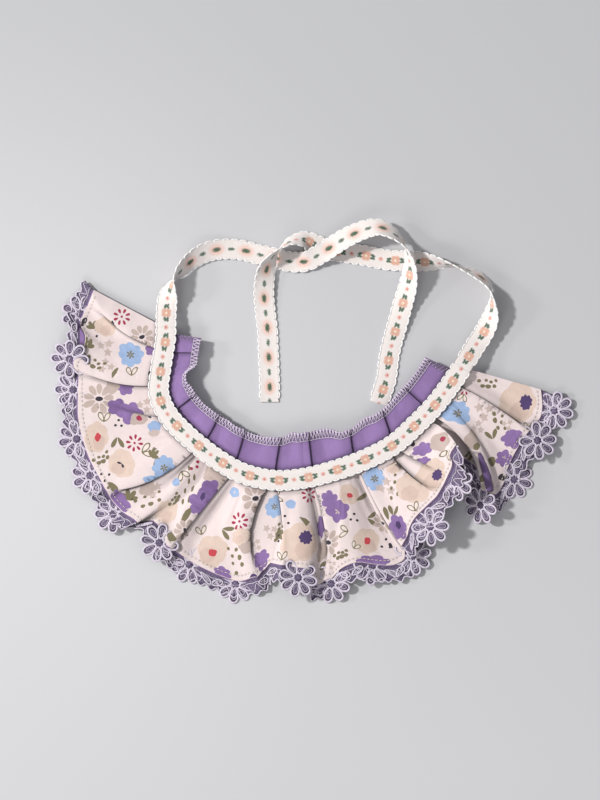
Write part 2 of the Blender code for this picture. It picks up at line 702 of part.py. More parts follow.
def add_lining(longer):
    """The lining is the print's own points moved down."""
    normals = normals_of(longer)
    top = WALL / 2 + SEAM_GAP
    upper = settle(longer - normals * top, WALL, 0.0)
    lower = settle(longer - normals * (top + WALL))
    add(wall_mesh("ruffle_lining", upper, lower, longer), material("purple cotton", PURPLE, 0.8))


def add_frill(grid):
    normals = normals_of(grid)
    half = WALL / 2
    mesh = wall_mesh("neck_frill", grid + normals * half, grid - normals * half, grid)
    add(mesh, material("purple frill cotton", PURPLE, 0.8))


def strip_grids(line, rolls, width, thickness):
    """The two faces of a ribbon along a line of points, turned about its length by the rolls in degrees."""
    along = np.gradient(line, axis=0)
    upper = []
    lower = []
    for place, way, roll in zip(line, along, rolls):
        way = unit(way)
        side = right_of(way)
        up = np.cross(side, way)
        turn = math.radians(roll)
        across = math.cos(turn) * side + math.sin(turn) * up
        out = math.cos(turn) * up - math.sin(turn) * side
        edges = [place + across * width / 2, place - across * width / 2]
        upper.append([edge + out * thickness / 2 for edge in edges])
        lower.append([edge - out * thickness / 2 for edge in edges])
    return np.array(upper), np.array(lower)


def add_strip(name, line, rolls, finish):
    upper, lower = strip_grids(line, rolls, RIBBON_WIDTH, WALL)
    mesh = wall_mesh(name, settle(upper, 0.0, 0.0), settle(lower, 0.0, 0.0))
    add(mesh, finish)


def even_route(rows, step):
    """The route's points and rolls, read from one smooth curve about every step."""
    route = Path([(row.x, row.y, row.z, row.roll / 10) for row in rows])
    count = max(2, round(route.length / step))
    marks = np.linspace(0.0, route.length, count + 1)
    points = np.array([route.at(mark) for mark in marks])
    return points[:, :3], points[:, 3] * 10


def add_ribbons(seam):
    finish = material("rosebud ribbon", RIBBON_COLOUR, 0.7)
    marks = np.linspace(0.0, seam.length, round(seam.length / BAND_STEP))
    band = np.array([seam.at(mark) for mark in marks])
    band[:, 2] = RIBBON_RIDE
    add_strip("ribbon_band", band, [0] * len(band), finish)
    for name, rows in (("tie_left", LEFT_TIE), ("tie_right", RIGHT_TIE)):
        line, rolls = even_route(rows, TIE_STEP)
        add_strip(name, line, rolls, finish)


def lace_frame(longer):
    """The line that the lace is sewn along, the way out from it, and how much of its width it has there."""
    normals = normals_of(longer)[-1]
    hem = longer[-1] - normals * LACE_LEVEL
    reach = along_line(hem)
    room = np.clip((normals[:, 2:] - STEEP) / (LEVEL - STEEP), LACE_TUCK, 1.0)
    ribs = (longer[-1] - longer[-3]) * (1, 1, 0)
    ribs = blended(ribs / np.linalg.norm(ribs, axis=1, keepdims=True), reach, LACE_BLEND)
    along = blended(np.gradient(hem, axis=0) * room, reach, LACE_BLEND)
    sides = np.array([right_of(way) for way in along])
    out = ribs + sides * np.clip(np.sum(sides * ribs, axis=1, keepdims=True), 0.0, 1.0)
    out /= np.linalg.norm(out, axis=1, keepdims=True)
    off = np.cross(np.gradient(hem, axis=0), normals)
    off *= LACE_GAP / np.linalg.norm(off, axis=1, keepdims=True)
    return hem + off, out, reach, room[:, 0], normals


def daisy_marks(hem, reach, room):
    """For each daisy, how far along the hem its middle is and how far out."""
    found = []
    for daisy in DAISIES:
        away = np.hypot(hem[:, 0] - daisy.x, hem[:, 1] - daisy.y)
        nearest = int(np.argmin(np.where(room > 0.5, away, np.inf)))
        found.append((reach[nearest], max(DAISY_OUT, away[nearest])))
    return found


def lace_outline(marks, length):
    """The lace laid flat: where its columns start along the seam, and the (along, out) of its outer edge."""
    starts = [0.0]
    edges = [(0.0, LACE_END)]
    bounds = [-DAISY_RADIUS] + [s for s, t in marks] + [length + DAISY_RADIUS]
    for i, (s, t) in enumerate(marks):
        left = min(DAISY_RADIUS, (s - bounds[i]) / 2 - BETWEEN)
        right = min(DAISY_RADIUS, (bounds[i + 2] - s) / 2 - BETWEEN)
        starts.append(s - left - BAR)
        edges.append((s - left - BAR, LACE_NET))
        for petal in range(PETALS):
            middle = 90 + DAISY_SPAN / 2 - DAISY_SPAN * (petal + 0.5) / PETALS
            for turn, size in PETAL_TURNS:
                if petal == 0 and turn == PETAL_TURNS[0][0]:
                    continue
                way = level(middle + turn)
                width = left if way[0] < 0 else right
                starts.append(s + way[0] * width * INNER_SHARE)
                edges.append((s + way[0] * width * size, t + way[1] * DAISY_RADIUS * size))
        starts.append(s + right + BAR)
        edges.append((s + right + BAR, LACE_NET))
    starts.append(length)
    edges.append((length, LACE_END))
    return np.array(starts), np.array(edges)


def add_lace(longer):
    """A wall of two rows: its inner row follows every station of the hem, and its outer row the daisies."""
    hem, out, reach, room, hem_normals = lace_frame(longer)
    starts, edges = lace_outline(daisy_marks(hem, reach, room), reach[-1])
    apart = np.abs(starts[:, None] - reach[None, :]).min(axis=1) > CLOSEST
    columns = spaced(np.sort(np.concatenate([reach, starts[apart]])), CLOSEST)
    inner = read_at(hem, reach, columns)
    free = np.interp(columns, reach, room)
    shift = np.interp(columns, starts, edges[:, 0] - starts) * free
    along = columns + shift * np.interp(columns + shift, reach, room)
    outs = np.interp(columns, starts, edges[:, 1]) * free
    for _ in range(NARROWINGS):
        outer = read_at(hem, reach, along) + read_at(out, reach, along) * outs[:, None]
        for step in (1, 2, 3):
            run = inner[step:] - inner[:-step]
            kept = np.sum((outer[step:] - outer[:-step] - run * LEAST_SPREAD) * run, axis=1) > 0
            outs[step:] *= np.where(kept, 1.0, NARROWED)
            outs[:-step] *= np.where(kept, 1.0, NARROWED)
        outs = (outs[None, :] + LACE_SLOPE * np.abs(columns[:, None] - columns[None, :])).min(axis=1)
    outer[:, 2] *= 1 - LACE_DROOP * outs / LACE_WIDTH
    lace = np.array([inner, outer])
    lace[..., 2] = np.maximum(lace[..., 2], WALL / 2)
    normals = normals_of(lace)
    normals[0] = read_at(hem_normals, reach, columns)
    lower = settle(lace - normals * WALL / 2)
    mesh = wall_mesh("lace_trim", lace + normals * WALL / 2, lower)
    add(mesh, material("lilac lace", LACE_COLOUR, 0.75))


def spaced(marks, least):
    """The marks without those that lie nearer than least to the one kept before."""
    kept = [marks[0]]
    for mark in marks[1:-1]:
        if mark - kept[-1] >= least and marks[-1] - mark >= least:
            kept.append(mark)
    return np.array(kept + [marks[-1]])


def read_at(line, reach, marks):
    return np.array([np.interp(marks, reach, axis) for axis in line.T]).T


def clear_scene():
    for piece in list(bpy.data.objects):
        bpy.data.objects.remove(piece)


def main():
    clear_scene()
    seam = Path([(point.x, point.y, 0.0) for point in SEAM])
    ruffle = ruffle_cloth(seam)
    grid = np.array([ruffle.row(v) for v in RUFFLE_ROWS])
    add_print(grid)
    longer = lengthened(ruffle, grid)
    add_lining(longer)
    add_lace(longer)
    frill = frill_cloth(seam)
    add_frill(np.array([frill.row(v) for v in FRILL_ROWS]))
    add_ribbons(seam)


main()
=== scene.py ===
import math
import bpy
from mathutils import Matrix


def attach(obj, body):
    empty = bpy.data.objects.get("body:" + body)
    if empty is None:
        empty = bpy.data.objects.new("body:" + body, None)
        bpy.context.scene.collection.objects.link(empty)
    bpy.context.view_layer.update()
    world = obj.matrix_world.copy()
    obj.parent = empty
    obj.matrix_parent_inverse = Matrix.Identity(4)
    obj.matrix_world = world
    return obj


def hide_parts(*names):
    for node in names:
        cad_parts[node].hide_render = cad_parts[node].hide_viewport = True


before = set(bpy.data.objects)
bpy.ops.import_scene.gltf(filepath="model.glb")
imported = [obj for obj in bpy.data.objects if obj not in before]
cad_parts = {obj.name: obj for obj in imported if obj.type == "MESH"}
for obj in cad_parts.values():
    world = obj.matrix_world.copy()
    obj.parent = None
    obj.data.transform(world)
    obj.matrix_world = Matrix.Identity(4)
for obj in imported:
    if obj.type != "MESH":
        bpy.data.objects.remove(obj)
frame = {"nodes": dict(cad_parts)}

from types import SimpleNamespace

import bpy
import numpy as np
from mathutils import Vector
from mathutils.geometry import delaunay_2d_cdt

MM = 0.001
# Where the frame's origin lies in the millimetres of the tables below.
MIDDLE = np.array([-2.15, -0.55, 0.0])
# Some places are read in a 600 by 800 picture from above: the pixel at the tables' zero, and the millimetres
# that a pixel takes.
ZERO_PIXEL = (315, 411.5)
PIXEL = 0.6

# The form of the cloths, after part.py, in millimetres. Bends are tighter here, because the shown cloth is
# thinner than the solids' walls. STEEPEST, MOST_MITRE and LACE_DROOP are ratios, and HALVINGS is a count.
RIBBON_RIDE = 8.75
CREST_RADIUS = 0.4
VALLEY_RADIUS = 0.3
TOP_LEVEL = 7.4
LOW_LEVEL = 1.8
FRILL_RADIUS = 0.35
FRILL_TOP = 7.0
RISE_ROOM = 3.0
FOOT_ROOM = 1.5
FOOT_LEAST = 1.2
OPENING = 4.0
FLATTEST = 1.5
OPEN_CREST = 1.8
OPEN_VALLEY = 1.5
TALL_CREST = 0.2
WAY_STEP = 0.5
HALVINGS = 30
RUFFLE_OFFSET = 0.6
FRILL_OFFSET = 1.0
UNDER_RIBBON = 8.8
STEEPEST = 1.2
MOST_MITRE = 1.4
LINING_SHOW = 1.2
HEM_BLEND = 3.0
LACE_BLEND = 8.0
DAISY_RADIUS = 10.5
LACE_DROOP = 0.3
LACE_LEVEL = 0.7

# The rows of points down each cloth, and the stretches between two stations of a row.
FINE_ROWS = 41
FRILL_ROWS = 14
FINE_SPAN = 3

# What the pleats keep of their solids' depth at the neck, half way down and at the hem.
RUFFLE_CLOSER = (0.3, 0.38, 0.8)
FRILL_CLOSER = (0.5, 0.5, 0.5)

# The detail of the cloths, in millimetres. TURN_SPAN and TURN_SHARES set the points along and across the lining's
# turned edge.
RUFFLE_DEPTH = 58.0
FRILL_DEPTH = 14.0
FLOOR_GAP = 0.05
HIDDEN = 1.4
PRINT_RISE = 0.2
HEM_ROLL = ((0.3, 0.18), (0.4, 0.0), (0.3, -0.12), (0.0, -0.2), (-1.0, -0.22))
LINING_TOP = 0.32
LINING_THICK = 0.3
LINING_SHOW_UV = 1.5
FRILL_WALL = 0.22
STITCH_STEP = 2.6
STITCH_IN = 2.4
STITCH_ENDS = 2.0
STITCH_LONG = 0.72 * STITCH_STEP
STITCH_CORD = 0.2
STITCH_RISES = (-0.05, 0.14, 0.14, -0.05)
TURN_RISE = 0.45
TURN_ROUND = 0.5
TURN_SPAN = 6
TURN_SHARES = np.linspace(-0.5, 0.5, 7)

# The ribbon and its picot loops, in millimetres. RIBBON_SHARES are the places of its points over its half width.
TIE_STEP = 1.5
BAND_POINTS = 130
RIBBON_FINE = 0.7
RIBBON_HALF = 5.0
RIBBON_SWELL = 0.45
RIBBON_RIPPLE = 0.12
RIBBON_THICK = 0.5
RIBBON_SHARES = (-1.0, -0.93, -0.75, -0.4, 0.0, 0.4, 0.75, 0.93, 1.0)
ROSE_STEP = 17.8
PICOT_STEP = 4.7
PICOT_DEPTH = 0.9
PICOT_OUT = 0.05
PICOT_CORD = 0.5

# The lace, in millimetres: cords are radii. DAISY_APART and UV_PAST_NET keep the daisies' uvs apart. DAISY_HOLD
# is how far along the hem a daisy is held, DAISY_SLOPES its least and greatest slope, and FLAT_ENOUGH the least
# upward share of the normal where one hangs. NET_WIDE is the net's width at its left and right ends, and
# NET_SHARES are the places of its points across that width.
LACE_PETALS = 8
PETAL_WIDE = 4.9
DAISY_REACH = 11.3
DAISY_EYE = 2.9
DAISY_SAG = 1.2
DAISY_SLOPES = (-0.25, 0.35)
DAISY_HOLD = 0.8 * DAISY_RADIUS
FLAT_ENOUGH = 0.5
LACE_FLOOR = 0.35
DAISY_APART = 31.0
UV_PAST_NET = 100.0
LACE_CORD = 0.66
LOOP_CORD = 0.16
EDGE_CORD = 0.42
NET_WIDE = (8.0, 10.2)
NET_SHARES = (-0.35, 0.0, 0.25, 0.5, 0.75, 1.0)
NET_STEP = 0.8
NET_WAVE = 1.2
INNER_CORD = 0.26
CURL_CORD = 0.28
CURL_STEP = 6.5
CURL_MIDDLE = 0.62
CURL_SWING = 0.26
LEAF_OUT = 4.2
# The half length, width, points, cord and sides of a leaf's outline and of its vein.
LEAF_LOOPS = ((4.0, 3.3, 16, 0.45, 6), (2.6, 0.9, 10, 0.22, 5))
THREAD_FLAT = 0.8

# The frill's overlock, in millimetres. Each point of a loop is (share of a step, share of the width, rise).
OVERLOCK_STEP = 2.0
OVERLOCK_WIDTH = 2.8
OVERLOCK_RISE = 0.4
OVERLOCK_CORD = 0.22
OVERLOCK_IN = 0.25
OVERLOCK_FINE = 0.8
END_STEP = 0.8 * OVERLOCK_STEP
LOOP_THREAD = 0.3
LOOP_OVER = 0.35
OVERLOCK_LOOP = ((0, 1, 0.4), (0.35, 0.5, 0.45), (0.5, 0.03, 0.4), (0.55, -0.12, 0.0), (0.65, 0.03, 0.4),
                 (0.8, 0.5, 0.4), (1.0, 1, 0.4))

# The length of each stretch of the ribbon, in metres.
RIBBON_CUTS = {"tie_left": 0.278, "ribbon_band": 0.268, "tie_right": 0.278}

# The painted shade in the folds: how far it looks in metres, its samples, its powers and its colour.
FOLD_REACH = 0.0035
FOLD_SAMPLES = 8
FOLD_SHADE_POWER = 2.3
NET_SHADE_POWER = 1.2
FOLD_SHADE_COLOUR = (0.012, 0.008, 0.014, 1.0)

# The reliefs of the finishes in metres, the twist of a thread, the roughness of cotton, the closest two cuts of
# the print in millimetres, and the step between the seeds of its motifs.
PUCKER_DEPTH = 0.0016
WEAVE_DEPTH = 0.0001
THREAD_DEPTH = 0.0002
NET_DEPTH = 0.0003
RIBBON_DEPTH = 0.0003
PAPER_DEPTH = 0.0002
TWIST_SCALE = 1400.0
COTTON_ROUGH = 0.85
CLOSEST_CUT = 1e-4
SEED_STEP = 0.7

PURPLE_CLOTH = (138, 108, 162)
# SHADED_CLOTH is the lining's purple darkened as painted shade, for its edge in the deep recess.
SHADED_CLOTH = (104, 80, 126)
FRILL_CLOTH = (140, 111, 164)
# The colour of the net's holes is painted shade: the dark seen through the lace.
NET_HOLE_SHADE = (46, 35, 62)
NET_THREAD = (130, 116, 148)

# Each light's name, place in metres, size and power.
LIGHTS = (
    ("key", (-2.9, 1.0, 3.0), 0.42, 165.0),
    ("second", (-3.6, 0.5, 1.7), 0.5, 32.0),
    ("front", (-1.4, -2.4, 2.2), 1.6, 22.0),
)
LAMP_COLOUR = (1.0, 0.985, 0.965)
SKY_COLOUR = (0.97, 0.975, 1.0, 1)
SKY_POWER = 0.42
FLOOR_HALF = 1.5
# The camera looks straight down from far away. Its sensor is in millimetres, and the picture's height in metres.
CAMERA_MIDDLE = (-0.009, 0.0069)
CAMERA_HEIGHT = 3.0
SENSOR = 36
PICTURE_HEIGHT = 0.48


def table(columns, text):
    """The rows of a text, which lines or semicolons part, as records with the named columns."""
    rows = [row.split() for row in text.replace("\n", ";").split(";") if row.strip()]
    rows = [[float(cell) if cell.lstrip("-")[0].isdigit() else cell for cell in row] for row in rows]
    return [SimpleNamespace(**dict(zip(columns.split(), row))) for row in rows]


SEAM = table("x y", """
-89.1 50.1; -89.2 44.7; -91.8 27.9; -93.6 12.3; -91.2 3.9; -86.1 -4.5; -79.8 -11.1; -72.6 -17.7
-58.5 -28.5; -43.3 -36.9; -24.6 -41.1; -6.6 -39.9; 11 -35.5; 28.6 -29.3; 46.4 -20.2; 60.4 -7.8
72.3 4.5; 83.4 19.5; 88.2 26.7
""")

FOLD_COLUMNS = ("name side seam neck_lap neck_z neck_low mid_x mid_y mid_lap mid_z mid_low"
                " hem_x hem_y hem_z in_x in_y in_z heading foot")

# Each pleat of the ruffle. side is the layer that lies on top, before or after the fold on the way from left to
# right. seam is the place along the seam. neck_lap and mid_lap are the depths of the overlap at the seam and half
# way down, and below zero they are the width of an open wave. neck_z, mid_z and hem_z are the heights of the
# crest, and neck_low, mid_low and in_z those of the valley. mid, hem and in are the places of the crest half way
# down, of the crest at the hem and of the valley at the hem, and heading is the direction of the hem there in
# degrees. foot is 1 where the layer below rises again.
RUFFLE_FOLDS = table(FOLD_COLUMNS, """
a before 13.5 -4 4.6 4.2 -118.2 50.1 -1.8 6.4 2.4 -133.9 68.4 5 -135.4 65 2.8 250 1
b before 34.5 8 7.4 1.8 -114 16.2 4.5 7.4 1.8 -144 26.7 7 -141.6 22.2 2.2 280 0
c after 56.5 6.5 7.4 1.8 -110.4 -0.9 -1.5 6.8 2.2 -141.8 6.3 5 -141.8 11.1 3 270 0
d before 79.4 7.5 7.4 1.8 -99 -41.7 6 7.2 1.8 -124.2 -47.7 6.5 -122.2 -51.9 2.5 305 1
f before 84.2 -4 2.6 2.2 -88.9 -53.2 -2.8 5.6 2.2 -105.9 -66.3 7 -104.4 -64.8 1.8 316 1
e before 105.5 6.5 7.4 1.8 -69.1 -60.7 6.2 7.2 1.8 -86.4 -81.3 7.2 -81.9 -84.3 2.5 325 1
g before 129.3 8 7.4 1.8 -38.4 -71.1 3.8 8.2 1.8 -34.6 -98.9 5 -31.4 -94.8 3.6 0 0
g2 after 131 8 7.4 1.8 -19.8 -62.7 1 8.5 3.2 -20.4 -91.4 10.2 -25.8 -90.4 5.6 -4 0
h after 152.8 8 7.4 1.8 6.3 -72.3 3 7.4 1.8 7.6 -100 4.2 3.3 -102.9 2 5 1
i after 181.3 6 7.4 1.8 41.4 -63.9 5 7.8 1.8 51.6 -80.1 8.8 56.5 -78.2 3 60 1
j before 200.8 5.5 7.4 1.8 59.4 -40.5 2.6 11.6 5 73.4 -48.8 15.5 75.6 -45.2 14.6 55 0
j2 after 205.5 6 7.4 1.8 63 -30 1.4 10.8 4.6 79.8 -36.2 17.2 78 -40.2 15.8 64 0
k2 before 229.3 7 7.4 1.8 77.2 -11 4 12.5 3.2 84 -19.5 19.5 81.8 -23 5 58 0
k after 233.9 7 7.4 1.8 90.6 -20.1 4 9.5 2.2 99.6 -46.5 8.5 104.4 -44.6 2.4 -20 0
m before 257 4 7.4 1.8 108 2.7 5.5 7.4 1.8 127.8 -11.7 7 130.9 -8.7 2.5 50 1
""")

# The cloth between the pleats: after names the pleat on its left, share the place between the two pleats at the
# seam, mid_z the height half way down, and hem the place of the hem. show is how far the lining reaches past it.
RUFFLE_RIBS = table("after share mid_z hem_x hem_y hem_z show", """
start 0 3.8 -132.2 72.6 4.2; a 0.2 3.2 -137.6 60.5 3.4; a 0.4 3.8 -140.3 51.5 5 1.6
a 0.6 4.6 -137.4 45.5 7 4.6; a 0.8 5.6 -138.8 36.8 7.2 3.2; c 0.2 5.6 -141.6 -3.3 5.2
c 0.4 5.2 -139.4 -14.7 4; c 0.6 5.4 -134.6 -29 3.4; c 0.8 6.4 -128.8 -39.5 5; d 0.5 3.6 -115 -60 4
f 0.35 4.6 -96.6 -65.2 4.6; f 0.7 6.2 -90.8 -73.2 6.6; e 0.2 2.4 -75 -89.2 2.2
e 0.45 3.4 -66 -94 2.2; e 0.7 5 -55.5 -98.6 2; e 0.88 6.2 -45 -101.4 2.2; g2 0.35 10 -11.4 -92.8 11
g2 0.65 8.6 -4.2 -93.8 10.2; g2 0.88 4.2 -1.2 -98.6 5.6; h 0.22 8.2 15.2 -94 6.2
h 0.42 7.6 24.6 -89.9 7.8; h 0.62 6 35.5 -91.2 5.4; h 0.82 3.6 46.4 -91.8 4; h 0.94 2.6 53.4 -88 3.4
i 0.3 9 56.2 -69.5 10.4; i 0.55 9.8 59.4 -63.4 12; i 0.8 10.4 66.2 -56.4 14
j2 0.5 12.5 81.6 -30.2 18.6; k2 0.4 3.4 87.4 -26.6 3.8; k2 0.75 2.4 96.4 -32.8 2.5
k 0.2 7.4 108.8 -48.9 4.4; k 0.4 7 112.8 -43 3.4; k 0.6 6.6 115.2 -34 3.2; k 0.8 6.8 119.8 -24.1 5
m 0.4 2.6 134.8 -3.4 3; m 0.75 3.2 136 3.6 3.4; m 1 3.6 135.1 13.3 3.8
""")

# The same columns for the pleats of the neck frill, and for the cloth between them.
FRILL_FOLDS = table(FOLD_COLUMNS, """
p1 before 14.6 2.4 7 4.4 -79.6 35.6 1.8 7.6 5 -69.7 35.2 8.6 -69.8 36.4 6 262 1
p2 before 53 3.4 7 4.4 -78.4 5.2 3 7.8 5 -71.8 11 10 -72.8 13.6 6 300 1
p3 before 80.6 3.4 7 4.4 -61.4 -9.6 3 7.8 4.6 -58 -2 8.6 -60.2 -0.2 5.4 322 1
p4 before 103.5 3.4 7 4.4 -44.6 -19.6 3 7.8 4.6 -42.6 -10.8 8.6 -45.2 -9.8 5.4 336 1
p5 before 129.9 3.4 7 4.4 -22.6 -24.4 3 7.8 4.6 -20.8 -15.4 8.6 -23.6 -15.4 5.4 0 1
p6 before 153.5 3.4 7 4.4 -3.4 -22.6 3 7.8 4.6 -4.6 -12.2 8.6 -7.4 -12.8 5.4 8 1
p7 before 179.8 3.4 7 4.4 21.4 -18.6 3 7.8 4.6 20.4 -10.6 8.6 17.6 -11.6 5.4 18 1
p8 before 205.5 3.4 7 4.4 42.6 -7.8 3 7.8 4.6 39.6 0.6 8.6 37.2 -0.8 5.4 32 1
p9 before 235.3 3.4 7 4.4 58.4 9 3 7.8 4.6 52.8 14.4 8.8 50.8 12.2 5.6 46 1
""")

FRILL_RIBS = table("after share mid_z hem_x hem_y hem_z", """
start 0 6.6 -68 43.9 8; start 0.5 6.8 -68.9 40.6 8; p1 0.3 6.6 -70.9 27.6 8.2
p1 0.55 7.6 -77 22.6 10.6; p1 0.8 7.8 -76.4 17.2 11; p2 0.5 6.2 -66.6 4.8 7.4; p3 0.5 6.2 -52 -5.2 7
p4 0.25 5.6 -38.6 -13 6.4; p4 0.65 6.4 -30 -15.2 7.4; p5 0.5 6.2 -13.6 -12.4 7
p6 0.25 5.6 -0.4 -11.4 6.4; p6 0.65 6.4 9.4 -10.4 7.4; p7 0.5 6.2 30 -3.6 7; p8 0.5 6.2 46.4 7.4 7
p9 0.4 6.6 60.2 23.4 7.8; p9 1 7 66.2 32.4 8.4
""")

# Where the frill starts and ends along the seam.
FRILL_START = 3.0
FRILL_END = 264.0

# Where the middle of each daisy lies. The last one is half hidden in the deep recess on the right.
DAISIES = table("x y", """
-140.6 58.5; -146.8 31.5; -144.8 13; -142.6 -16.5; -134.6 -38.4; -120.8 -61.5; -93 -78.6
-75.2 -91.8; -47.6 -103.6; -10 -99.4; 9.8 -103.2; 34.4 -92.6; 58.4 -86.8; 69 -68.8; 83.6 -42
99.2 -56; 119.6 -40.8; 133.4 -17.4; 143.6 0.6; 95.2 -38.6
""")

# The free ends. roll is the turn about the ribbon's length in degrees: 0 shows its face and 180 its back.
LEFT_TIE = table("x y z roll", """
-89.1 50.4 8.75 0; -89 59.7 6.6 0; -88.2 68.1 5.6 15; -86 74.7 6.6 60; -84 79.8 7.4 95
-81.4 83.1 7 118; -76.4 88.2 5.2 138; -69.6 93.3 3.6 155; -61.2 96.6 2.2 168; -52 97.5 1.2 178
-42.7 96.6 0.8 180; -33.5 94.1 0.6 180; -26.8 92.7 0.6 180; -15.8 90 0.8 180; -9.5 89.6 1.4 180
-4 90.4 3.4 164; 3 94.4 5.6 172; 9 98.1 6.8 192; 20 104.7 9.5 198; 31.4 109.3 11.2 206
38.3 110.2 11.8 216; 46.7 106.3 12 236; 52.8 100.1 11.6 262; 55.9 93.3 10.8 284; 57 85.6 8.8 308
55.6 74.9 5.2 334; 52.8 64.9 3 348; 49.8 53.5 1.8 356; 46.7 42.7 1 360; 44.4 32.1 0.6 360
42.9 19.7 0.6 360; 40.6 12.1 0.6 360; 38.2 4.8 0.6 360
""")

RIGHT_TIE = table("x y z roll", """
88.4 27 8.75 0; 95.7 38.9 6 0; 100.3 45.8 4.8 8; 104.9 55.7 5 34; 106.1 65.7 6.6 76
104.9 73.3 7 100; 100.3 79.5 6.6 114; 92.6 84.1 6.4 110; 81.2 87.9 5.8 84; 69.7 89.4 3.6 40
58.2 90.2 1.4 8; 42.9 90.9 0.7 0; 31.4 93.3 0.6 0; 16.8 95.5 0.6 0; 6.2 97.8 0.6 0; 0 100.2 0.7 -2
-4.5 102.2 2.1 -18; -9 102.9 4.8 -46; -14 102 6.2 -62; -19.2 98.5 7.6 -82; -24.2 94.1 8.4 -104
-28.4 87.3 6.6 -138; -30.1 79.8 4.2 -162; -30.6 69.7 2.2 -176; -29.7 59.6 1 -180
-28.4 48.7 0.6 -180; -28 38.5 0.6 -180; -27.6 29.3 0.6 -180; -27.2 18.3 0.6 -180; -27.2 5.6 0.6 -180
""")


def pulled(a, b, first, last, t):
    """What is a at first and b at last, read at t."""
    return ((last - t) * a + (t - first) * b) / (last - first)


def catmull(points, per_span):
    """A smooth line through the points, with per_span stretches between each two of them."""
    points = np.asarray(points, float)
    padded = np.vstack([2 * points[0] - points[1], points, 2 * points[-1] - points[-2]])
    spans = np.sqrt(np.linalg.norm(np.diff(padded, axis=0), axis=1))
    knots = np.concatenate([[0.0], np.cumsum(np.maximum(spans, 1e-6))])
    line = [points[0]]
    for i in range(len(points) - 1):
        p, k = padded[i : i + 4], knots[i : i + 4]
        for step in range(1, per_span + 1):
            t = k[1] + (k[2] - k[1]) * step / per_span
            a = [pulled(p[j], p[j + 1], k[j], k[j + 1], t) for j in range(3)]
            b = [pulled(a[j], a[j + 1], k[j], k[j + 2], t) for j in range(2)]
            line.append(pulled(b[0], b[1], k[1], k[2], t))
    return np.array(line)


class Path:
    """A line that is read by the distance along it. Past its ends it goes straight on."""

    def __init__(self, line, closeness=8):
        self.line = catmull(line, closeness)
        self.reach = along_line(self.line)
        self.length = self.reach[-1]

    def at(self, s):
        inside = min(max(s, 0.0), self.length)
        place = np.array([np.interp(inside, self.reach, axis) for axis in self.line.T])
        return place + (s - inside) * self.along(inside)

    def along(self, s):
        low = min(max(s - WAY_STEP, 0.0), self.length - 2 * WAY_STEP)
        marks = (low, low + 2 * WAY_STEP)
        ends = [[np.interp(mark, self.reach, axis) for axis in self.line.T] for mark in marks]
        return unit(np.subtract(ends[1], ends[0]))


def right_of(way):
    """The level direction to the right of a way, which is away from the neck along the seam."""
    return unit(np.array([way[1], -way[0], 0.0]))


def level(angle):
    return np.array([math.cos(math.radians(angle)), math.sin(math.radians(angle)), 0.0])


def unit(vector):
    return vector / np.linalg.norm(vector)


def units(vectors):
    """Each vector of an array, at length one."""
    return vectors / np.maximum(np.linalg.norm(vectors, axis=-1, keepdims=True), 1e-9)


def smoothstep(x):
    x = min(max(x, 0.0), 1.0)
    return x * x * (3 - 2 * x)


def through(first, middle, last, at, v):
    """The parabola that is first at 0, middle at the given place and last at 1."""
    first_part = (v - at) * (v - 1) / at
    middle_part = v * (v - 1) / (at * (at - 1))
    last_part = v * (v - at) / (1 - at)
    return first * first_part + middle * middle_part + last * last_part


def wall_turn(lap, height, both, share):
    """How far the cloth between crest and valley is turned down: a right angle stands upright, and two lie flat
    under the crest. Both bends are round, and both is the sum of their radii."""
    low, high = (0.0, math.pi / 2) if lap < 0 else (math.pi / 2, math.pi / 2 + math.acos(1 - share))
    for _ in range(HALVINGS):
        turn = (low + high) / 2
        down, along = math.sin(turn), math.cos(turn)
        if lap < 0:
            more = -lap * down < (height - both * (1 - along)) * along
        else:
            more = lap * down + height * along > both * (down + along - 1)
        low, high = (turn, high) if more else (low, turn)
    return (low + high) / 2


